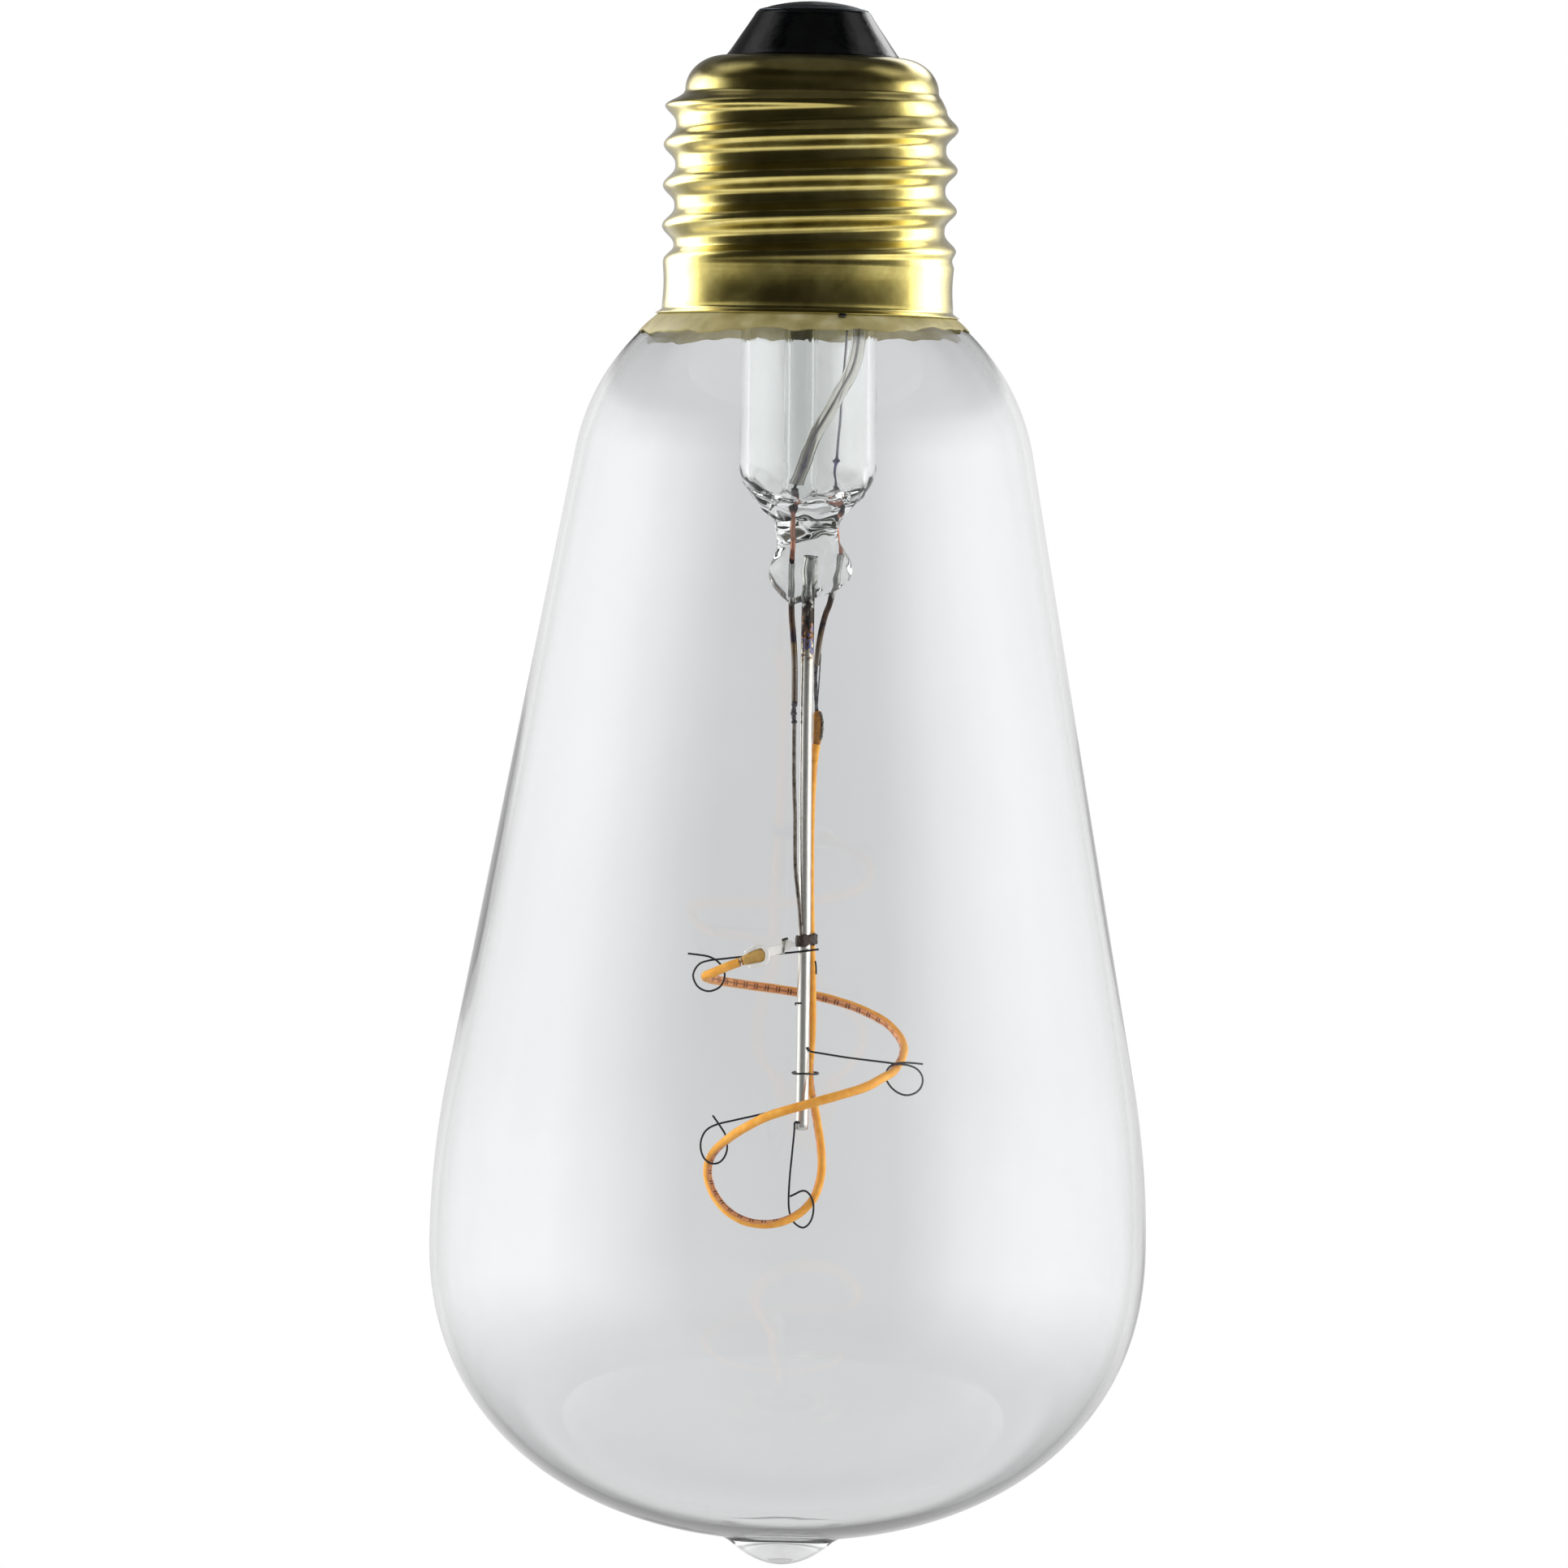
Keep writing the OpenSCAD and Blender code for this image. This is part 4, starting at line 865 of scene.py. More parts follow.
def pinch_grid(n):
    """Ovals from the left to the right outline: middle + half width * |cos|^0.85, and depth *
    |sin|^0.85 with folds, groove and crease."""
    left, right, deep = (through(v, 5)[1:] for v in (PINCH_LEFT, PINCH_RIGHT, PINCH_DEEP))
    a, low = around(n), left[:, 1:]
    middle, half = (left + right) / 2, (right - left) / 2
    share = squared(np.cos(a), OVAL)
    x, z = middle[:, :1] + half[:, :1] * share, middle[:, 1:] + half[:, 1:] * share
    fold = 0.10 * np.sin(3 * a + low * 2.1) + 0.06 * np.sin(5 * a - low * 3)
    off_groove = (x - 1.55 - 0.12 * (z + 50.5) ** 2) / 0.33
    groove = GROOVE * np.exp(-off_groove ** 2) * np.exp(-((z + 50.4) / 1.9) ** 4)
    off_crease = (z + 48.3 - 0.22 * x) / 0.28
    crease = CREASE * np.exp(-off_crease ** 2) * np.clip((1.6 - x) / 1.5, 0, 1)
    pressed = np.where(np.sin(a) < 0, groove + crease, -0.6 * groove)
    y = squared(np.sin(a), OVAL) * (deep + fold) + pressed
    return np.stack([x, y, z], 2)


glass_piece("stem_glass", np.concatenate([tube_grid, pinch_grid(96)]),
            clear_glass("stem_glass", (0.965, 0.98, 0.97), 2.5),
            "stem_flare", "pinch_seal", slot="stem_glass")

# %% [markdown]
# The exhaust tube is a thin straw inside the stem, through which the bulb was emptied and filled.
# Its upper end was melted shut. Two walls so close together, seen through two more, would
# turn black at their edges, so its index of refraction is kept low and the tube stays clear.

# %% Exhaust tube
def exhaust_grid(n=64):
    """A straight tube with both walls; quarter circles close its upper end."""
    t = np.linspace(np.pi / 2, 0, 12)
    top, foot, wide, bore, aside = -18.95, -44.56, 1.5, 1.0, 0.7
    out = np.concatenate([np.stack([wide * np.cos(t), top + wide * np.sin(t)], 1)[1:],
                          [[wide, z] for z in np.linspace(top, foot, 30)[1:]]])
    back = np.concatenate([[[bore, z] for z in np.linspace(foot, top, 30)],
                           np.stack([bore * np.cos(t[::-1]), top + bore * np.sin(t[::-1])], 1)[1:-1]])
    grid = turned(np.concatenate([out, back]), n)
    grid[..., 0] -= aside
    return lean(grid)


glass_piece("exhaust_glass", exhaust_grid(),
            clear_glass("exhaust_glass", (0.975, 0.985, 0.98), 2.5, ior=1.2),
            "exhaust_tube", slot="stem_glass")

# %% [markdown]
# ## Carrying a ring along a wire
# A bent wire is one curve through a few points and a ring carried along it. The ring needs a
# steady "up": the direction in which the wire travels least, found from the spread of its own
# tangents, never lines up with it. Close to the ends the ring shrinks like the edge of a cut wire.

# %% Carrying
def measured(route, step):
    """Stations along the smooth curve, with a few extra ones close to both ends."""
    fine = through(route, 32)
    length = np.concatenate([[0], np.cumsum(np.linalg.norm(np.diff(fine, axis=0), axis=1))])
    total = length[-1]
    inner = np.linspace(0.12, total - 0.12, max(3, int(total / step)))
    near = np.array([0.0, 0.01, 0.03, 0.06, 0.09])
    s = np.concatenate([near, inner, total - near[::-1]])
    return s, np.stack([np.interp(s, length, fine[:, k]) for k in range(3)], 1)


def unit(v):
    """Each row divided by its own length."""
    return v / np.linalg.norm(v, axis=1, keepdims=True)


def axes(path, hint=None):
    """Two directions across the path at each station; the first follows the hint: the hint minus
    its share along the path, made one long."""
    t = unit(np.gradient(path, axis=0))
    if hint is None:
        hint = np.linalg.eigh(t.T @ t)[1][:, 0]
    u = unit(hint - (hint * t).sum(1, keepdims=True) * t)
    return u, np.cross(t, u)


def carried(s, path, half_u, half_v, n, hint=None, square=1.0, edge=0.3):
    """Ring of |cos|^square, |sin|^square carried along the path. At its ends it shrinks like
    sqrt(1 - 0.8 share squared), where share is what is left of the rounded edge."""
    u, v = axes(path, hint)
    a = around(n)[..., None]
    to_end = np.minimum(s, s[-1] - s)
    blunt = np.sqrt(1 - np.clip(1 - to_end / (edge * np.min(half_u)), 0, 1) ** 2 * 0.8)
    hu, hv = (np.broadcast_to(h, s.shape) * blunt for h in (half_u, half_v))
    return (path[:, None] + (squared(np.cos(a), square) * hu[:, None, None]) * u[:, None]
            + (squared(np.sin(a), square) * hv[:, None, None]) * v[:, None])


# %% [markdown]
# Two helpers make a whole piece of it. A strip has a width and a thickness, each a number or a
# function of the distance. A wire is round, slightly uneven, and a swelling along the way
# makes a crimp or a bead. A third helper colours a wire by distance, in bands with a ragged edge.

# %% Strips, wires and bands
def strip(name, route, step, wide, thick, finish, *nodes, slot, n=20, **shape):
    """A piece carried along a route, with half width and half thickness in millimetres."""
    s, path = measured(route, step)
    half_u, half_v = (size(s) if callable(size) else size for size in (wide, thick))
    grid = carried(s, path, half_u, half_v, n, **shape)
    return place(skin(name, grid, lengths=s), finish, *nodes, slot=slot)


def by_way(at, sizes):
    """A size that changes along the way: straight between the sizes at these distances."""
    return lambda s: np.interp(s, at, sizes)


def rippled(size, first, second, fine, finer, shift=1):
    """A size with two ripples: first * sin(fine * distance) + second * sin(finer * distance)."""
    return lambda s: size + first * np.sin(s * fine) + second * np.sin(s * finer + shift)


def wire(name, route, radius, finish, *nodes, slot, n=14, step=0.35, beads=(), bends=0.006):
    """A round wire. beads are (distance, extra radius, half length); bends is its uneven radius."""
    s, path = measured(route, step)
    r = radius * (1 + bends * np.sin(s * 2.1) + bends * np.sin(s * 5.3 + 1))
    for at, extra, long in beads:
        r = r + extra * np.exp(-((s - at) / long) ** 2)
    return place(skin(name, carried(s, path, r, r, n), lengths=s), finish, *nodes, slot=slot)


def banded(made, size, *stops):
    """Colours that change along the wire: stops are (distance in millimetres, colour), and the last
    distance is less than size."""
    stray = made.spread(made.noise(0.5, detail=3), -0.03, 0.03)
    share = made.maths("ADD", made.maths("DIVIDE", made.uv("Y"), size), stray)
    return made.ramp(share, *[(at / size, colour) for at, colour in stops])


def heated(name, rough, size, *stops):
    """Metal with bands of colour along it."""
    made = metal(name, None, rough)
    made.to("Base Color", banded(made, size, *stops))
    return made


# %% [markdown]
# ## Leads above the glass
# Two thin grey leads come down from the driver, tinned but tarnished, and darkest in the crimp at
# their lower end. Each is a plain wire with one bead, and bands of colour over it.

# %% Outer leads
SEAL_A = [(-0.7, -1.95, -43.8), (-0.8, -0.9, -50.2)]
SEAL_B = [(2.65, -0.3, -43.8), (3.35, -0.2, -49.4)]
OUTER_A = [SEAL_A[0], (-0.45, -2, -42.8), (-0.05, -2.1, -41.6), (0.35, -2.2, -40.2), (1, -2.2, -38.5),
           (2, -2.1, -36.7), (3, -1.8, -34.8), (4, -1.4, -32.8), (4.5, -1.1, -30.6), (4.6, -1, -28),
           (4.6, -1, -24), (4.6, -1, -19), (4.6, -1, NECK_TOP)]
OUTER_B = [SEAL_B[0], (2.75, -0.3, -42.6), (2.85, -0.1, -41), (2.95, 0, -39.4), (3.1, 0.1, -37.4),
           (3.3, 0.4, -34), (3.6, 0.8, -30), (3.8, 1.2, -24), (3.8, 1.2, -19), (3.8, 1.2, NECK_TOP)]

tinned = heated(
    "tinned_lead", (0.3, 0.5), 10,
    (0.0, (0.05, 0.04, 0.05)), (1.6, (0.13, 0.12, 0.18)), (2.1, (0.03, 0.03, 0.13)),
    (3.0, (0.03, 0.03, 0.13)), (3.4, (0.16, 0.15, 0.19)), (6.0, (0.24, 0.24, 0.27)),
    (9.0, (0.36, 0.36, 0.38)))
for side, route, crimp_at in (("a", OUTER_A, 2.3), ("b", OUTER_B, 2.75)):
    wire("outer_lead_wire_" + side, route, 0.13, tinned, "outer_lead_" + side, slot="lead_wire",
         step=0.08, beads=[(crimp_at, 0.2, 0.16)])

# %% [markdown]
# The first lead runs in a milky sleeve that keeps it off the tube. It has two walls like the glass,
# and a little roughness makes it cloudy. A low index of refraction keeps the wire visible in it.

# %% Sleeve
SLEEVE_R, SLEEVE_BORE = 0.6, 0.44
s, path = measured([(-0.62, -1.97, -43.45)] + OUTER_A[1:10], 0.4)
walls = [carried(s, path, r, r, 28, edge=0.1) for r in (SLEEVE_R, SLEEVE_BORE)]
sleeve = Finish("sleeve_film", Transmission_Weight=0.93, IOR=1.12, Roughness=0.22)
sleeve.to("Base Color", sleeve.ramp(sleeve.noise(1.5), *two_tones((0.95, 0.94, 0.88), (0.99, 0.98, 0.94))))
sleeve.bump(sleeve.noise(0.9, scale=(1, 1, 0.3)), 0.03, 0.4)
glass_piece("lead_sleeve_film", np.concatenate([walls[0], walls[1][::-1]]), sleeve, "lead_sleeve",
            slot="sleeve_film", ring=True)

# %% [markdown]
# Only one kind of wire seals in glass: one that is clad with copper and swells with heat as
# the glass does. The copper looks pink through the glass and is burnt black at both ends.

# %% Seal wires
copper = heated(
    "seal_copper", (0.3, 0.5), 6.5,
    (0.0, (0.012, 0.008, 0.008)), (1.2, (0.02, 0.01, 0.01)), (1.6, (0.42, 0.17, 0.11)),
    (3.5, (0.60, 0.30, 0.21)), (5.9, (0.50, 0.22, 0.15)), (6.2, (0.03, 0.015, 0.015)))
wire("seal_wire_copper_a", SEAL_A, 0.22, copper, "seal_wire_a", slot="seal_copper",
     beads=[(0.6, 0.14, 0.6)])
wire("seal_wire_copper_b", SEAL_B, 0.17, copper, "seal_wire_b", slot="seal_copper")

# %% [markdown]
# ## Leads, rod and weld below the glass
# These wires were next to the flames when the pinch was pressed. Steel that was heated in air
# keeps its oxide colours: black where it was hottest, then brown and straw, and clean metal
# further down. Inside the pinch the glass lies tight on them and mirrors the cloth, and that
# reflection is painted into them as pale grey bands. The colours are bands by distance.

# %% Inner leads
INNER_A = [(-0.8, -0.9, -50.2), (-0.75, -0.7, -54.4), (-0.55, -0.6, -56.5), (-0.36, -0.5, -59),
           (-0.28, -0.4, -62.9)]
INNER_B = [(3.35, -0.2, -49.4), (2.75, 0, -53.3), (2.3, 0.2, -54.7), (2, 0.4, -56), (1.78, 0.6, -57.4),
           (1.65, 0.8, -58.8), (1.6, 0.85, -59.3)]
# The first two bands, pale grey, are painted reflection of the cloth mirrored by the pinch glass; the rest are
# oxide colours.
burnt_and_mirrored = heated(
    "burnt_steel_painted_reflection", (0.25, 0.45), 13,
    (0.0, (0.45, 0.46, 0.44)), (3.2, (0.40, 0.40, 0.38)), (3.8, (0.05, 0.035, 0.03)),
    (5.6, (0.10, 0.06, 0.04)), (6.6, (0.02, 0.02, 0.035)), (7.4, (0.16, 0.11, 0.06)),
    (9.0, (0.20, 0.17, 0.14)), (12.5, (0.16, 0.13, 0.11)))
for side, route in (("a", INNER_A), ("b", INNER_B)):
    wire("inner_lead_steel_" + side, route, 0.27, burnt_and_mirrored, "inner_lead_" + side, slot="burnt_wire")

# %% [markdown]
# The left lead is made of two wires. Where they were welded a lumpy dark slug is left, and a
# thinner, cleaner wire goes on down to the collar.

# %% Weld and lower lead
SLUG = [(-0.26, -0.42, -62.5), (-0.34, -0.4, -63.3), (-0.33, -0.4, -64.0), (-0.26, -0.4, -64.55)]
LOWER_A = [(-0.28, -0.4, -64.2), (-0.26, -0.4, -67), (-0.2, -0.42, -70), (-0.08, -0.5, -73),
           (-0.05, -0.55, -75.5), (0.02, -0.65, -77.5), (0.25, -0.75, -79.5), (0.48, -0.82, -81.5),
           (0.62, -0.86, -83.4), (0.64, -0.88, -84.3)]
slug = metal("weld_slug", two_tones((0.05, 0.045, 0.05), (0.20, 0.19, 0.20)), (0.3, 0.55),
             grain=0.4, depth=0.05)
lumpy = rippled(0.26, 0.05, 0.03, 7, 17)
strip("lead_weld_slug", SLUG, 0.06, lumpy, lambda s: lumpy(s) * 0.9, slug, "lead_weld",
      slot="burnt_wire", n=24, edge=0.5)
lower = metal("lower_lead_steel", two_tones((0.11, 0.095, 0.08), (0.26, 0.23, 0.20)), (0.25, 0.4))
wire("lower_lead_steel", LOWER_A, 0.18, lower, "lower_lead_a", slot="lower_wire")

# %% [markdown]
# The support rod is nickel-plated and bright, with a little grime. Its top lies in the pinch and
# is painted pale grey there, a painted reflection of the cloth that the glass mirrors; below it the
# rod shows the whole row of heat colours, down to blue and purple, before it turns clean.

# %% Rod
ROD_TOP, ROD_FOOT, ROD_R = (0.7, 0, -49.5), (1.0, 0, -100.75), 0.58
nickel = Finish("rod_nickel", Metallic=1.0)
# The first two bands are painted reflection: pale grey for the cloth mirrored in the pinch glass.
heat_and_painted_reflection = banded(
    nickel, 52, (0.0, (0.50, 0.52, 0.49)), (3.7, (0.42, 0.43, 0.40)), (4.3, (0.055, 0.045, 0.04)),
    (6.5, (0.05, 0.04, 0.035)), (7.0, (0.40, 0.20, 0.08)), (7.4, (0.20, 0.12, 0.22)),
    (7.8, (0.10, 0.22, 0.50)), (8.15, (0.09, 0.07, 0.14)), (8.5, (0.36, 0.26, 0.12)),
    (9.2, (0.62, 0.60, 0.53)), (12.0, (0.68, 0.67, 0.62)), (50.0, (0.66, 0.65, 0.61)))
grime = nickel.noise(0.5, scale=(1, 1, 0.25), detail=6)
nickel.to("Base Color", nickel.mix(nickel.spread(grime, 0, 0.55, 0.6, 0.75), heat_and_painted_reflection, (0.35, 0.30, 0.22)))
nickel.to("Roughness", nickel.spread(grime, 0.12, 0.3))
nickel.bump(nickel.noise(0.16, scale=(1, 1, 0.3), detail=5), 0.012, 0.5)
wire("rod_nickel", [ROD_TOP, ROD_FOOT], ROD_R, nickel, "support_rod", slot="rod_nickel", n=40, step=0.5,
     bends=0.003)

# %% [markdown]
# ## Filament
# The light comes from a ribbon of tiny chips under silicone that is coloured with phosphor. It runs
# down beside the rod, round the bottom loop, up in front to the right and back behind the rod to
# its end at the left. A curve object would give the same line, but this one also has to say
# where it bends, because that decides which way the ribbon faces.

# %% Filament route
LOOPS_FOOT = (-4.5, -1.8, -85.85)
FILAMENT = [
    (1.75, 0.9, -66.3), (1.52, 0.92, -68), (1.4, 0.92, -70), (1.34, 0.93, -73), (1.33, 0.93, -76),
    (1.37, 0.93, -80), (1.46, 0.9, -83.5), (1.6, 0.88, -87), (1.7, 0.88, -90.5), (1.67, 0.9, -93),
    (1.57, 0.9, -95.3), (1.7, 0.93, -97), (2.1, 0.95, -98.7), (2.45, 0.95, -100.5), (2.75, 0.9, -102.3),
    (2.85, 0.7, -104.4), (2.4, 0.5, -106.4), (1.5, 0.1, -107.7), (0.4, -0.4, -108.5), (-0.9, -0.8, -109),
    (-2.4, -1, -109.15), (-4, -0.9, -108.85), (-5.5, -0.5, -108), (-6.6, 0.1, -106.7), (-7.2, 0.6, -105.2),
    (-7.2, 0.6, -103.9), (-6.7, 0.1, -102.8), (-5.7, -1.3, -101.8), (-4.2, -3.2, -100.7), (-2, -5.2, -99.5),
    (1, -6.4, -98.5), (4, -6, -97.6), (6.5, -4.4, -96.8), (8, -2.2, -96), (8.9, -0.6, -95.5),
    (9.4, 0.6, -94.9), (9.8, 1.6, -94.2), (9.95, 2.7, -93.2), (9.4, 4.1, -92.1), (8.2, 5.4, -91),
    (6, 6.4, -89.95), (3.5, 6.8, -89.2), (1, 6.7, -88.7), (-1.5, 6.2, -88.35), (-4, 5.1, -88.05),
    (-6.2, 3.5, -87.75), (-7.5, 1.7, -87.5), (-7.8, 0.3, -87.25), (-7, -0.8, -86.9), (-5.8, -1.5, -86.35),
    LOOPS_FOOT]
filament_s, filament_path = measured(FILAMENT, 0.2)
print("filament", round(float(filament_s[-1]), 1), "mm long")

# %% [markdown]
# The ribbon lies on the inside of every bend, so the ring's first direction is the curve's own
# inward direction. On the straight run, where a curve has none, it faces the rod. At the sides of
# the bottom loop it is turned a little away from the camera, and at the loop's foot towards it. The
# UV map then gives the angle from the ribbon and the length in millimetres.

# %% Filament shape
STRAIGHT_BELOW, RUN_LENGTH = 0.03, 45     # curvature per millimetre, and where the loops begin
TOWARDS_ROD, BACKWARDS = np.array([[-1.0, 0.2, 0]]), np.array([[0, 0.55, 0]])
TWIST_AT, TWIST = [33, 36, 42, 46, 51, 55, 60, 63], [0, 1, 1, -1.9, -1.9, 1, 1, 0]


def smoothed(values, reach):
    """Each row becomes the weighted mean of its neighbours, by a bell curve `reach` rows wide."""
    k = np.exp(-np.linspace(-2, 2, 4 * reach + 1) ** 2)
    padded = np.pad(values, ((2 * reach, 2 * reach), (0, 0)), mode="edge")
    return np.stack([np.convolve(padded[:, c], k / k.sum(), mode="valid") for c in range(3)], 1)


def ribbon_side(s, path):
    """Curvature (change of the tangent per millimetre) made one long, the rod's direction where
    it is small, and the twist by length; all smoothed."""
    bend = smoothed(np.gradient(unit(np.gradient(path, axis=0)), axis=0) / np.gradient(s)[:, None], 6)
    size = np.linalg.norm(bend, axis=1, keepdims=True)
    straight = np.exp(-size / STRAIGHT_BELOW) * (s < RUN_LENGTH)[:, None]
    twist = np.interp(s, TWIST_AT, TWIST)[:, None]
    return smoothed(bend / (size + 1e-6) * (1 - straight) + TOWARDS_ROD * straight + BACKWARDS * twist, 8)


swell = rippled(1, 0.012, 0.01, 1.3, 3.7, shift=0)(filament_s)
strip_grid = carried(filament_s, filament_path, 0.375 * swell, 0.405 * swell, 40,
                     hint=ribbon_side(filament_s, filament_path), square=0.94)
print("filament grid", strip_grid.shape)

# %% [markdown]
# From outside it is an even amber strip; from the ribbon's own side it is pinker and shows a ladder
# of dark solder bars. They stand in pairs, one pair every 1.1 mm, joined by a thin rail along
# the middle, with a faint line at each edge of the ribbon. All of it is drawn by distance: how far
# a point lies from the ribbon's middle as a share of the turn, and how far along a pair.

# %% Filament finish
PAIR = 1.1
amber = Finish("filament_silicone", Subsurface_Weight=0.35, Subsurface_Radius=(0.0012, 0.0006, 0.0002),
               Subsurface_Scale=0.5, IOR=1.41)


def away(value, middle):
    """Distance of a value from a middle."""
    return amber.maths("ABSOLUTE", amber.maths("SUBTRACT", value, middle))


def within(value, edge, soft):
    """1 where value is below edge, 0 above it, and a slope of twice `soft` between."""
    return amber.spread(value, 0, 1, edge + soft, edge - soft)


def times(a, b):
    """a times b."""
    return amber.maths("MULTIPLY", a, b)


off = amber.maths("SUBTRACT", 0.5, away(amber.uv("X"), 0.5))
in_pair = away(amber.maths("FRACT", amber.maths("DIVIDE", amber.uv("Y"), PAIR)), 0.5)
bars = times(within(away(in_pair, 0.38), 0.065, 0.02), within(off, 0.105, 0.02))
rail = times(within(off, 0.032, 0.016), 0.6)
edge_line = times(within(away(off, 0.125), 0.008, 0.012), 0.35)
mottle = amber.noise(0.35, detail=4)
ladder = times(amber.maths("MAXIMUM", amber.maths("MAXIMUM", bars, rail), edge_line),
               amber.spread(mottle, 0.75, 1.0, 0.35, 0.6))
outer = amber.ramp(amber.noise(0.8, detail=4), (0.3, (0.80, 0.35, 0.035)), (0.55, (0.88, 0.42, 0.055)),
                   (0.75, (0.92, 0.49, 0.10)))
inner = amber.ramp(mottle, *two_tones((0.66, 0.26, 0.09), (0.78, 0.38, 0.17)))
ribbon = within(off, 0.165, 0.035)
amber.to("Base Color", amber.mix(ladder, amber.mix(ribbon, outer, inner), (0.085, 0.018, 0.006)))
amber.to("Roughness", amber.spread(mottle, 0.3, 0.45))
amber.bump(amber.noise(0.5, detail=3), 0.02, 0.4)
place(skin("filament_strip", strip_grid, lengths=filament_s), amber, "led_filament",
      slot="filament_silicone")

# %% [markdown]
# ## Ends of the filament
# Both ends are thicker pads of the same silicone over a metal tab. The upper one is squeezed
# narrow, darker and blotched, with the tab's scorched edge showing on the right. It is a strip
# whose width is a short table along the way.

# %% Upper pad
LEFT, RIGHT = np.array([-1.0, 0, 0]), np.array([1.0, 0, 0])
BACK, UP = np.array([0, 1.0, 0]), np.array([0, 0, 1.0])
UPPER_PAD = [(1.82, 0.85, -63.35), (1.86, 0.85, -64.2), (1.86, 0.87, -65.4), (1.76, 0.9, -66.35)]
TAB_EDGE = [(1.98, 0.62, -63.45), (2.2, 0.6, -64.0), (2.24, 0.6, -65.2), (2.1, 0.66, -65.9)]
pad = mottled("end_pad", 0.45, [(0.3, (0.24, 0.09, 0.012)), (0.55, (0.38, 0.16, 0.02)),
                                (0.75, (0.50, 0.23, 0.03))], (0.3, 0.5), 0.04,
              Subsurface_Weight=0.2, Subsurface_Radius=(0.001, 0.0005, 0.0002), Subsurface_Scale=0.4)
squeezed = by_way([0, 0.25, 0.5, 2.2, 2.75, 3.1], [0.28, 0.40, 0.43, 0.43, 0.36, 0.33])
strip("upper_pad", UPPER_PAD, 0.08, squeezed, lambda s: squeezed(s) * 0.95, pad, "filament_end_upper",
      slot="filament_end", n=28, hint=LEFT, square=0.75)
scorched = metal("scorched_tab", two_tones((0.015, 0.012, 0.012), (0.30, 0.28, 0.24)), (0.2, 0.5),
                 grain=0.35, depth=0.03)
strip("upper_tab_edge", TAB_EDGE, 0.05, rippled(0.13, 0.025, 0.02, 9, 21, shift=0), 0.22, scorched,
      slot="tab_metal", n=16, hint=RIGHT, edge=0.6)

# %% [markdown]
# Above the pad the tab is split like a fork: a blade and a thin leg run up to the second lead. Both
# are flat strips of the same steel.

# %% Forked tab
TAB_BLADE = [(1.57, 0.85, -58.9), (1.56, 0.85, -60.2), (1.60, 0.85, -61.6), (1.72, 0.85, -63.4)]
TAB_LEG = [(1.97, 0.85, -58.2), (1.93, 0.85, -59.6), (1.86, 0.85, -61.2), (1.76, 0.85, -63.0)]
tab = metal("tab_steel", two_tones((0.06, 0.06, 0.08), (0.34, 0.33, 0.33)), (0.2, 0.45),
            grain=0.5, depth=0.03)
for name, route, wide, nodes in (("tab_blade", TAB_BLADE, 0.17, ["upper_tab"]),
                                 ("tab_leg", TAB_LEG, 0.065, [])):
    strip(name, route, 0.15, rippled(wide, 0.08 * wide, 0, 3, 0), 0.06, tab, *nodes, slot="tab_metal",
          n=16, hint=RIGHT, square=0.6)

# %% [markdown]
# The lower end is a flat club of paler silicone in a bright plated strip, which is bent round it
# like a horseshoe and is thickest at the bend. The strip faces the brightest cloth, and that
# reflection is painted into its colour: its finish is nearly white and hardly metallic.

# %% Club and clip
CLUB = [LOOPS_FOOT, (-4.1, -1.85, -85.7), (-3.6, -1.89, -85.5), (-3.0, -1.92, -85.3), (-2.53, -1.95, -85.14)]
CLIP = [(-4.36, -1.96, -85.10), (-3.75, -2.0, -84.71), (-3.39, -2.02, -84.51), (-2.8, -2.04, -84.56),
        (-2.40, -2.05, -85.03), (-2.40, -2.05, -85.67), (-2.8, -2.04, -86.12), (-3.42, -2.0, -86.24),
        (-3.97, -1.96, -86.38)]
club = mottled("end_club", 0.9, [(0.3, (0.52, 0.29, 0.06)), (0.6, (0.68, 0.42, 0.11)),
                                 (0.8, (0.76, 0.48, 0.14))], (0.35, 0.5), 0.03, detail=4, strength=0.4,
               relief=(0.4, 4), Subsurface_Weight=0.25, Subsurface_Radius=(0.001, 0.0006, 0.0002),
               Subsurface_Scale=0.5)
rounded = by_way([0, 0.4, 0.9, 1.35, 1.7, 1.9, 2.0, 2.07, 2.11],
                 [0.41, 0.46, 0.54, 0.60, 0.60, 0.54, 0.44, 0.31, 0.12])
strip("lower_club", CLUB, 0.07, rounded, lambda s: np.minimum(rounded(s), 0.44), club,
      "filament_end_lower", slot="filament_end_light", n=40, hint=UP, square=0.85)
# Painted reflection: nearly white and hardly metallic, for the brightest cloth that the clip and the strap
# mirror.
plate_painted_sheen = metal("clip_painted_sheen", two_tones((0.90, 0.88, 0.82), (0.97, 0.96, 0.92)), (0.25, 0.4),
               grain=0.7, depth=0.02, metallic=0.05)


def bend_thick(s):
    """0.15 mm, and a bell curve more round the middle of the way."""
    return 0.15 + 0.045 * np.exp(-((s - s[-1] * 0.52) / 0.9) ** 2)


strip("end_clip_strip", CLIP, 0.08, 0.52, bend_thick, plate_painted_sheen, "end_clip", slot="clip_metal", hint=BACK,
      square=0.45)

# %% [markdown]
# A strap runs from the clip to the collar and is folded over once on its way. The fold is a short
# grey strip of its own, with a dark wire along the top that is painted shade in the crease of its lip.

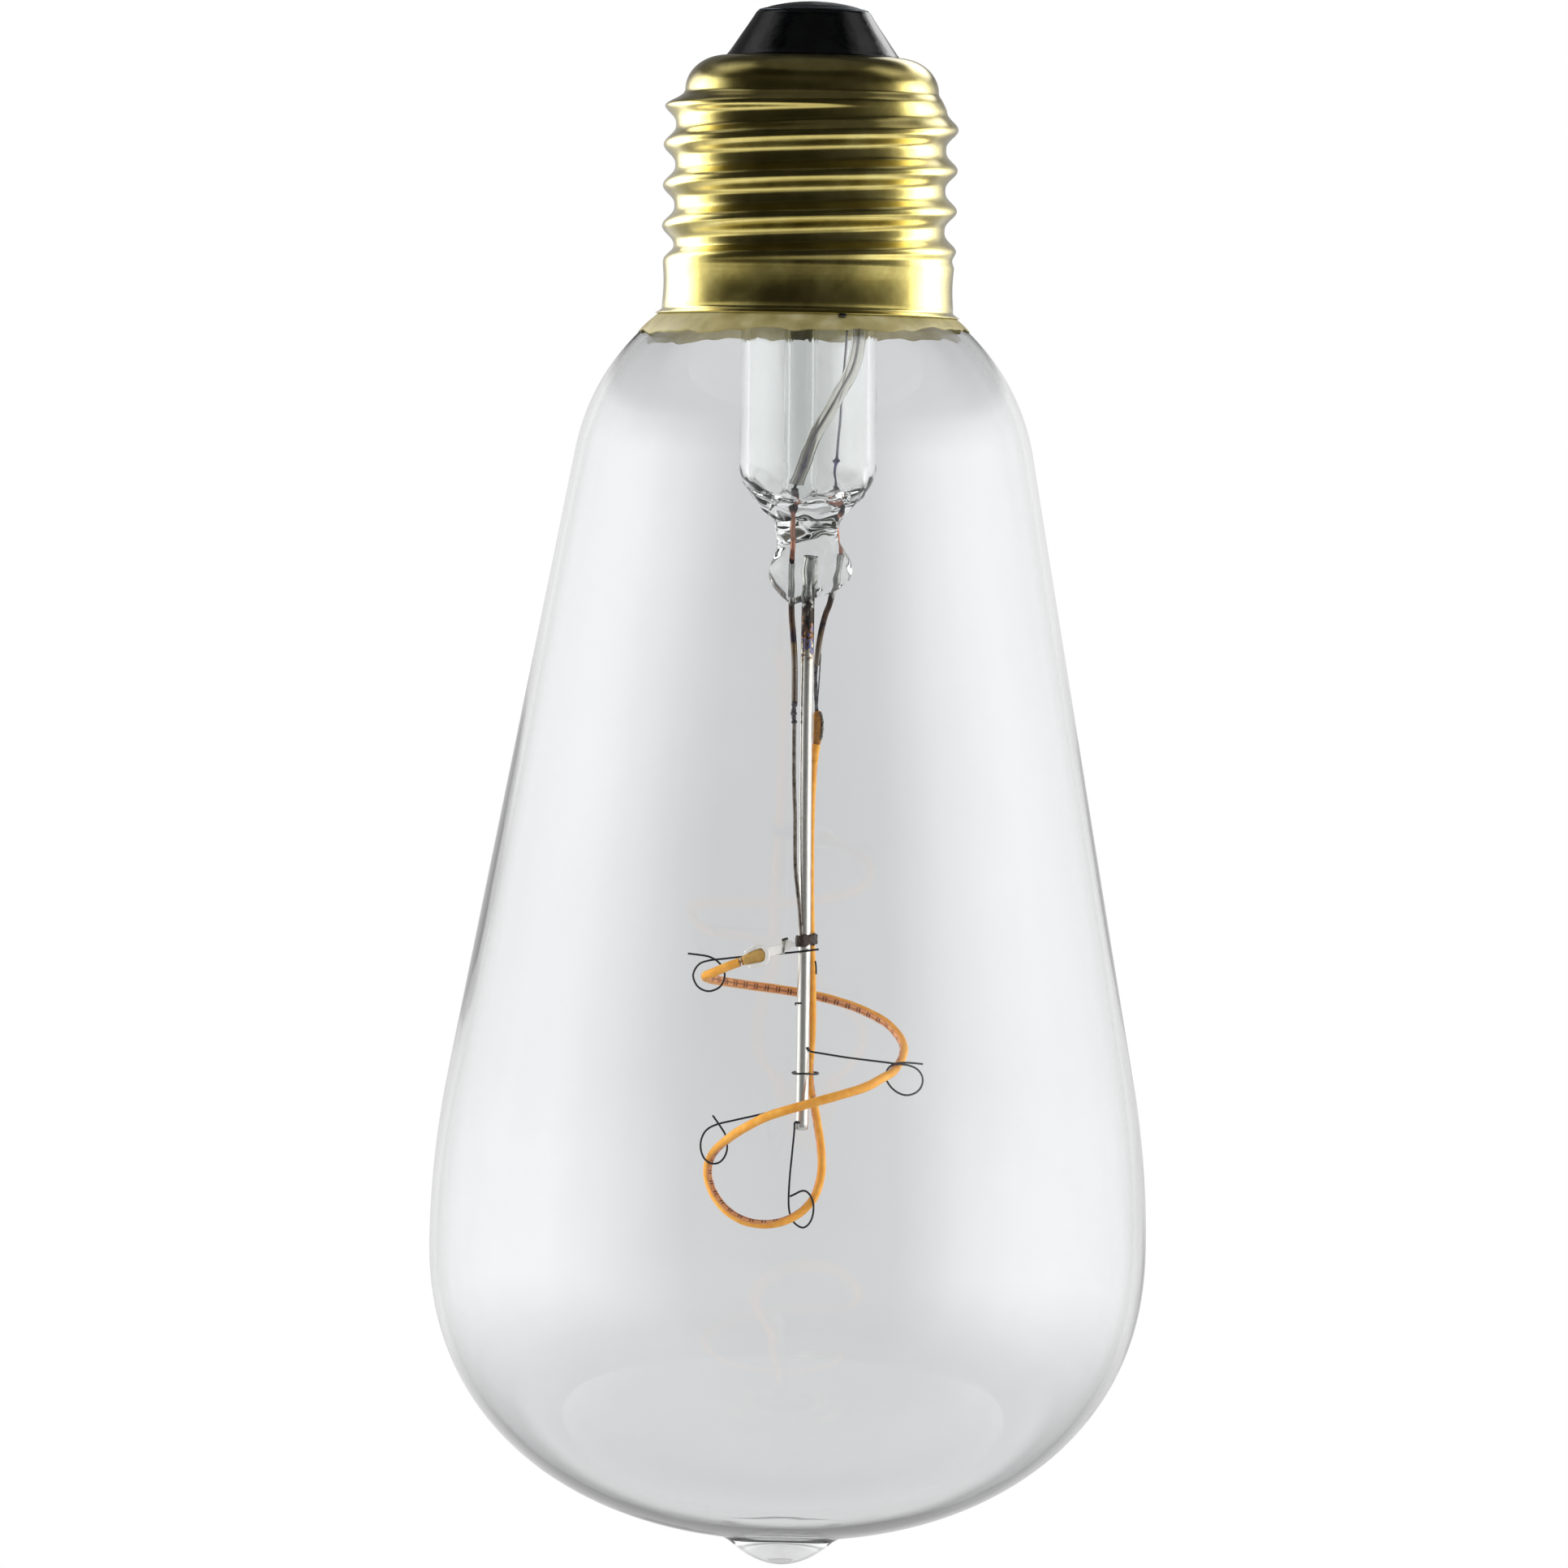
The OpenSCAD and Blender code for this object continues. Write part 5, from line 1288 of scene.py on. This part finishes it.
# %% Strap and fold
STRAP = [(0.05, -0.75, -84.25), (-0.5, -0.85, -84.3), (-0.8, -0.92, -84.45), (-1.0, -1.05, -84.62),
         (-1.6, -1.45, -84.82), (-2.33, -1.93, -84.98)]
FOLD = [(-0.88, -1.0, -83.78), (-0.94, -1.04, -84.2), (-1.0, -1.08, -84.7), (-1.08, -1.1, -85.12)]
FOLD_LIP = [(-1.08, -1.08, -83.96), (-0.85, -1.1, -83.84), (-0.55, -1.08, -83.76)]
tall = by_way([0, 0.25, 0.45, 0.7, 1.1, 1.3, 2.9], [0.16, 0.2, 0.38, 0.42, 0.42, 0.44, 0.42])
strip("clip_strap_strip", STRAP, 0.08, tall, 0.07, plate_painted_sheen, "clip_strap", slot="clip_metal", hint=UP,
      square=0.45)
grey = metal("fold_grey", two_tones((0.42, 0.41, 0.36), (0.72, 0.71, 0.65)), (0.2, 0.4), depth=0.02)
strip("strap_fold", FOLD, 0.06, 0.24, 0.09, grey, slot="clip_metal", hint=np.array([1.0, -0.4, 0]),
      square=0.5)
# Painted shade: the dark wire stands for the shade in the crease along the fold's lip.
shaded = metal("fold_lip", two_tones((0.05, 0.04, 0.035), (0.14, 0.11, 0.09)), (0.3, 0.5))
wire("strap_fold_lip", FOLD_LIP, 0.11, shaded, slot="clip_metal", step=0.08)

# %% [markdown]
# ## Collar
# A dark wrap ties lead, rod and filament together. Seen from above it follows the outline of three
# circles: in each direction the one that reaches furthest. A tall rounded strip is carried along
# that closed line, and a few sines of the turn make its edges uneven, like a strip wound by hand.

# %% Collar
COLLAR_Z, OFF_SURFACE = -83.88, 0.13


def rod_at(z):
    """Point on the rod's axis at a height, on the line between its two ends."""
    t = (z - ROD_TOP[2]) / (ROD_FOOT[2] - ROD_TOP[2])
    return np.array(ROD_TOP) + t * (np.array(ROD_FOOT) - np.array(ROD_TOP))


def bundle(grow, steps=96):
    """Outline of rod, lead and filament together: in each direction the edge of the circle for
    which direction times middle, plus radius, is largest."""
    a = around(steps)[0]
    way = np.stack([np.cos(a), np.sin(a)], 1)
    rod = rod_at(-83.9)
    middle = np.array([[rod[0], rod[1]], [1.47, 0.9], [0.64, -0.88]])
    size = np.array([ROD_R, 0.40, 0.18]) + grow
    far = (way @ middle.T + size).argmax(1)
    return middle[far] + size[far][:, None] * way


def evened(loop):
    """The same closed line, with its points at equal distances."""
    close = np.concatenate([loop, loop[:1]])
    length = np.concatenate([[0], np.cumsum(np.linalg.norm(np.diff(close, axis=0), axis=1))])
    s = np.linspace(0, length[-1], len(loop) + 1)[:-1]
    return np.stack([np.interp(s, length, close[:, k]) for k in range(2)], 1)


def wrap_grid(n=28):
    """Closed path round the bundle; each station carries |cos|^0.6 by |sin|^0.6, whose height and
    thickness are sines of the turn."""
    ring = evened(bundle(OFF_SURFACE))
    way = np.roll(ring, -1, 0) - np.roll(ring, 1, 0)
    out = unit(np.stack([way[:, 1], -way[:, 0]], 1))
    turn = np.arctan2(ring[:, 1], ring[:, 0] - 1)[:, None]
    a = around(n)
    tall = 0.47 + 0.07 * np.sin(3 * turn + 1) + 0.05 * np.sin(7 * turn)
    thick = 0.11 + 0.02 * np.sin(5 * turn + 2)
    rise = (COLLAR_Z + 0.12 * np.cos(turn - 0.3) + tall * squared(np.sin(a), 0.6)
            + 0.03 * np.sin(9 * turn + 2 * a))
    push = thick * squared(np.cos(a), 0.6) + 0.02 * np.sin(4 * a + 6 * turn)
    return np.stack([ring[:, :1] + out[:, :1] * push, ring[:, 1:] + out[:, 1:] * push, rise], 2)


collar = mottled("collar_dark", 0.3, [(0.35, (0.020, 0.012, 0.009)), (0.6, (0.06, 0.04, 0.03)),
                                      (0.8, (0.18, 0.15, 0.13))],
                 (0.35, 0.6), 0.06, detail=6, strength=0.7, Metallic=0.6)
place(skin("collar_wrap", wrap_grid(), ring=True), collar, "lead_collar", slot="collar_dark")

# %% [markdown]
# ## Hooks
# Thin black steel wires are welded to the rod, run out sideways and end in open loops, through
# which the filament is threaded. Each is one wire through measured points, because no two loops
# are alike.

# %% Hooks
HOOKS = {
    "hook_upper_left": [
        (2.2, -0.6, -84.65), (0.9, -0.72, -84.85), (-1, -0.5, -85.1), (-3, -0.2, -85.35), (-4.6, 0, -85.5),
        (-6.2, 0.15, -85.7), (-7.5, 0.2, -85.88), (-8.4, 0.3, -86.25), (-8.88, 0.3, -87.2),
        (-8.45, 0.35, -88.2), (-7.5, 0.4, -88.62), (-6.5, 0.4, -88.2), (-6.1, 0.45, -87.3),
        (-6.3, 0.5, -86.5), (-6.8, 0.55, -85.92), (-7.5, 0.55, -85.55), (-8.4, 0.5, -85.4), (-9.4, 0.5, -85.3)],
    "hook_right": [
        (1.36, -0.58, -93.4), (1.65, -0.3, -93.75), (2.5, -0.05, -93.9), (5, 0, -94.25), (8, -0.05, -94.55),
        (9.4, -0.15, -94.7), (10.4, -0.1, -94.8), (11.2, 0, -95.15), (11.65, 0, -95.8), (11.6, 0, -96.6),
        (11.1, 0, -97.2), (10.3, 0, -97.45), (9.5, 0, -97.25), (8.8, 0, -96.7), (8.4, 0.05, -96),
        (8.5, 0.1, -95.25), (8.95, 0.15, -94.8), (9.6, 0.15, -94.6), (10.4, 0.15, -94.57),
        (11.7, 0.15, -94.65)],
    "hook_lower_left": [
        (0.28, 0, -98.65), (-1, 0, -99), (-3, 0, -99.5), (-5, 0, -100), (-6.5, 0, -100.4), (-7.4, 0, -100.9),
        (-7.85, 0, -101.7), (-7.9, 0, -102.6), (-7.6, 0, -103.4), (-7, 0, -103.85), (-6.3, 0, -103.8),
        (-5.8, 0, -103.3), (-5.55, 0.05, -102.5), (-5.7, 0.15, -101.4), (-6.1, 0.25, -100.7),
        (-6.9, 0.3, -99.6)],
    "hook_bottom": [
        (0.8, -0.67, -100.1), (0.42, -0.45, -100.05), (0.35, -0.35, -101), (0.2, -0.3, -103),
        (0.05, -0.2, -105), (0, 0, -107), (0.12, 0.25, -108.1), (0.45, 0.35, -108.85), (0.9, 0.3, -109.25),
        (1.4, 0.2, -109.4), (1.9, 0, -109), (2.2, -0.15, -108.2), (2.2, -0.2, -107.2), (1.9, -0.25, -106.5),
        (1.5, -0.25, -106.15), (1.1, -0.25, -106.15), (0.6, -0.27, -106.4), (0.1, -0.3, -106.65)]}
black_wire = metal("hook_black", two_tones((0.004, 0.005, 0.007), (0.014, 0.016, 0.022)), (0.35, 0.55),
                   grain=0.4, metallic=0.3)
for node, route in HOOKS.items():
    wire(node + "_wire", route, 0.09, black_wire, node, slot="hook_wire", n=12, step=0.15)

# %% [markdown]
# Where a wire was welded on, its end shows as a short dark tick across the rod.

# %% Ticks
TICKS = {
    "rod_tick_upper": [
        (0.22, -0.25, -89.68), (0.22, -0.32, -89.5), (0.38, -0.52, -89.5), (0.75, -0.66, -89.5)],
    "rod_tick_lower": [
        (0.33, -0.3, -100.3), (0.38, -0.48, -100.08), (0.6, -0.62, -100.1), (0.8, -0.67, -100.06)],
    "rod_tick_right": [(1.9, 0.2, -85.7), (1.98, 0.25, -86.2), (2.0, 0.3, -86.9)]}
for name, route in TICKS.items():
    wire(name, route, 0.075, black_wire, slot="hook_wire", n=10, step=0.06)

# %% [markdown]
# ## Tie ring
# A loose steel ring lies round rod and filament and keeps them together. Its circle is the smallest
# that holds both, plus a little play, and it hangs slightly askew.

# %% Tie ring
RING_Z, RING_WIRE, PLAY = -95.7, 0.085, 0.12
FILAMENT_AT, FILAMENT_R = (1.57, 0.9), 0.4


def ring_grid(steps=96, n=14):
    """Torus: middle + R (cos a, sin a) + r (cos b outwards, sin b upwards), tilted by sin a."""
    rod = rod_at(RING_Z)
    across = np.array([FILAMENT_AT[0] - rod[0], FILAMENT_AT[1], 0])
    apart = np.linalg.norm(across)
    ring_r = (ROD_R + apart + FILAMENT_R) / 2 + PLAY
    middle = rod + across / apart * (ring_r - PLAY - ROD_R)
    a, b = around(steps)[0], around(n)[..., None]
    loop = np.stack([middle[0] + ring_r * np.cos(a), middle[1] + ring_r * np.sin(a),
                     RING_Z + 0.07 * np.sin(a) * ring_r + 0.03 * np.sin(3 * a)], 1)
    out = np.stack([np.cos(a), np.sin(a), 0 * a], 1)[:, None]
    return loop[:, None] + RING_WIRE * (np.cos(b) * out + np.sin(b) * UP)


tie = metal("tie_steel", two_tones((0.03, 0.03, 0.032), (0.13, 0.13, 0.13)), (0.25, 0.5), grain=0.4)
place(skin("tie_ring_wire", ring_grid(), ring=True), tie, "tie_ring", slot="tie_wire")

# %% [markdown]
# ## Cement at the rim
# Cement holds the cap on the neck. When the cap was pushed on, some of it was squeezed out and
# dried on the glass as a thin tan film with a ragged lower edge. The film is the bulb's own outline
# pushed out by its thickness, down to a depth that changes with the turn: deeper on the left.

# %% Cement film
ABOVE_RIM = 0.25


def glass_radius(z):
    """Radius of the glass outline at a height, linear between its points."""
    order = np.argsort(outside[:, 1])
    return np.interp(z, outside[order, 1], outside[order, 0])


def film_grid(n=360, steps=12):
    """Outline of the glass plus a thickness that falls as sqrt(1 - share cubed) towards the lower
    edge, then back close to the glass. Depth is a sum of sines of the turn."""
    a = around(n)
    deep = (1.45 - 0.42 * np.cos(a - 0.35) + 0.12 * np.sin(5 * a + 1) + 0.10 * np.sin(11 * a)
            + 0.07 * np.sin(23 * a + 2) + 0.04 * np.sin(41 * a))
    t = np.linspace(0, 1, steps)[:, None]
    z = RIM_Z + ABOVE_RIM - (deep + ABOVE_RIM) * t
    most = 0.16 + 0.03 * np.sin(7 * a) + 0.02 * np.sin(17 * a + 1)
    thick = 0.02 + most * np.sqrt(np.clip(1 - t ** 3, 0, 1))
    r = np.concatenate([glass_radius(z) + thick, (glass_radius(z) + 0.004)[::-1]])
    return cylindrical(r, a, np.concatenate([z, z[::-1]]))


cement = mottled("cement", 2.2, [(0.3, (0.44, 0.37, 0.13)), (0.55, (0.62, 0.54, 0.25)),
                                 (0.75, (0.78, 0.73, 0.48))],
                 (0.3, 0.6), 0.03, detail=3, strength=0.4, relief=(0.8, 4),
                 Transmission_Weight=0.55, IOR=1.35)
film = place(skin("cement_film", film_grid(), ring=True), cement, slot="cement")

# %% [markdown]
# A small dark weld joins the driver's side wire to the rim. It fills the box of the CAD's drop,
# two per cent smaller, and sines of both angles make it lumpy.

# %% Rim weld
def blob(middle, size, n=40):
    """A round grid about a middle, its radius 1 plus sines of both angles, none at the poles."""
    p, a = np.linspace(0.04, np.pi - 0.04, n // 2)[:, None], around(n)
    r = 1 + 0.08 * np.sin(3 * a + 2 * p) * np.sin(p) + 0.05 * np.sin(5 * a) * np.sin(3 * p) * np.sin(p)
    way = np.stack([np.sin(p) * np.cos(a), np.sin(p) * np.sin(a), np.cos(p) + 0 * a], 2)
    return np.array(middle) + r[..., None] * way * np.array(size)


weld_low, weld_high = (np.array(v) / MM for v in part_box("rim_weld"))
weld = metal("weld_dark", two_tones((0.02, 0.02, 0.025), (0.16, 0.15, 0.15)), (0.25, 0.5),
             grain=0.3, depth=0.03)
weld_grid = blob((weld_low + weld_high) / 2, (weld_high - weld_low) / 2 * 0.98)
place(skin("rim_weld_drop", weld_grid), weld, "rim_weld", slot="weld")

# %% [markdown]
# ## What the cap hides
# The driver's parts stay as the CAD built them and only get their finish: green lacquered board
# with traces under the lacquer, black moulded chips, the capacitor's sleeve with its wrinkles, and
# bare tinned wire. The cement inside the cap is coarser than its film outside.

# %% Driver finishes
board = mottled("board", 1.5, None, (0.25, 0.4), 0.02)
traces = board.spread(board.noise(1.1, scale=(1, 0.2, 1), detail=0), 0, 1, 0.52, 0.54)
board.to("Base Color", board.mix(traces, (0.015, 0.10, 0.045), (0.035, 0.20, 0.09)))
chip = mottled("chip_body", 0.25, two_tones((0.010, 0.010, 0.011), (0.03, 0.03, 0.032)), (0.45, 0.65), 0.01)
jacket = mottled("capacitor_sleeve", 2.5, two_tones((0.010, 0.012, 0.03), (0.03, 0.035, 0.07)),
                 (0.15, 0.3), 0.03)
resistor = mottled("resistor_body", 0.6, two_tones((0.30, 0.42, 0.36), (0.40, 0.54, 0.46)),
                   (0.35, 0.5), 0.02)
bare = metal("tinned_wire", two_tones((0.42, 0.42, 0.44), (0.66, 0.66, 0.67)), (0.2, 0.35))
coarse = mottled("cap_cement", 0.8, two_tones((0.42, 0.34, 0.17), (0.62, 0.54, 0.34)), (0.6, 0.85), 0.12)
for finish, names in ((board, ["driver_board"]), (chip, ["bridge_rectifier", "driver_chip"]),
                      (jacket, ["smoothing_capacitor"]), (resistor, ["fuse_resistor"]),
                      (bare, ["contact_lead", "shell_lead"]), (coarse, ["capping_cement"])):
    for name in names:
        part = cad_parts[name].data
        part.materials.clear()
        part.materials.append(finish.material)
        print(name, "gets", finish.material.name)

# %% [markdown]
# ### The cards light the cap alone
# The small ring of cards stands close to the glass, where it would show as a white patch on each
# shoulder. Light linking names the pieces that a glowing object may light, so the glass leaves
# the ring out, as it would if a second exposure were taken for the brass.

# %% Light linking
cap_pieces = bpy.data.collections.new("cap_pieces")
for piece in (shell, cone, plate, solder_drop, film):
    cap_pieces.objects.link(piece)
cards.light_linking.receiver_collection = cap_pieces
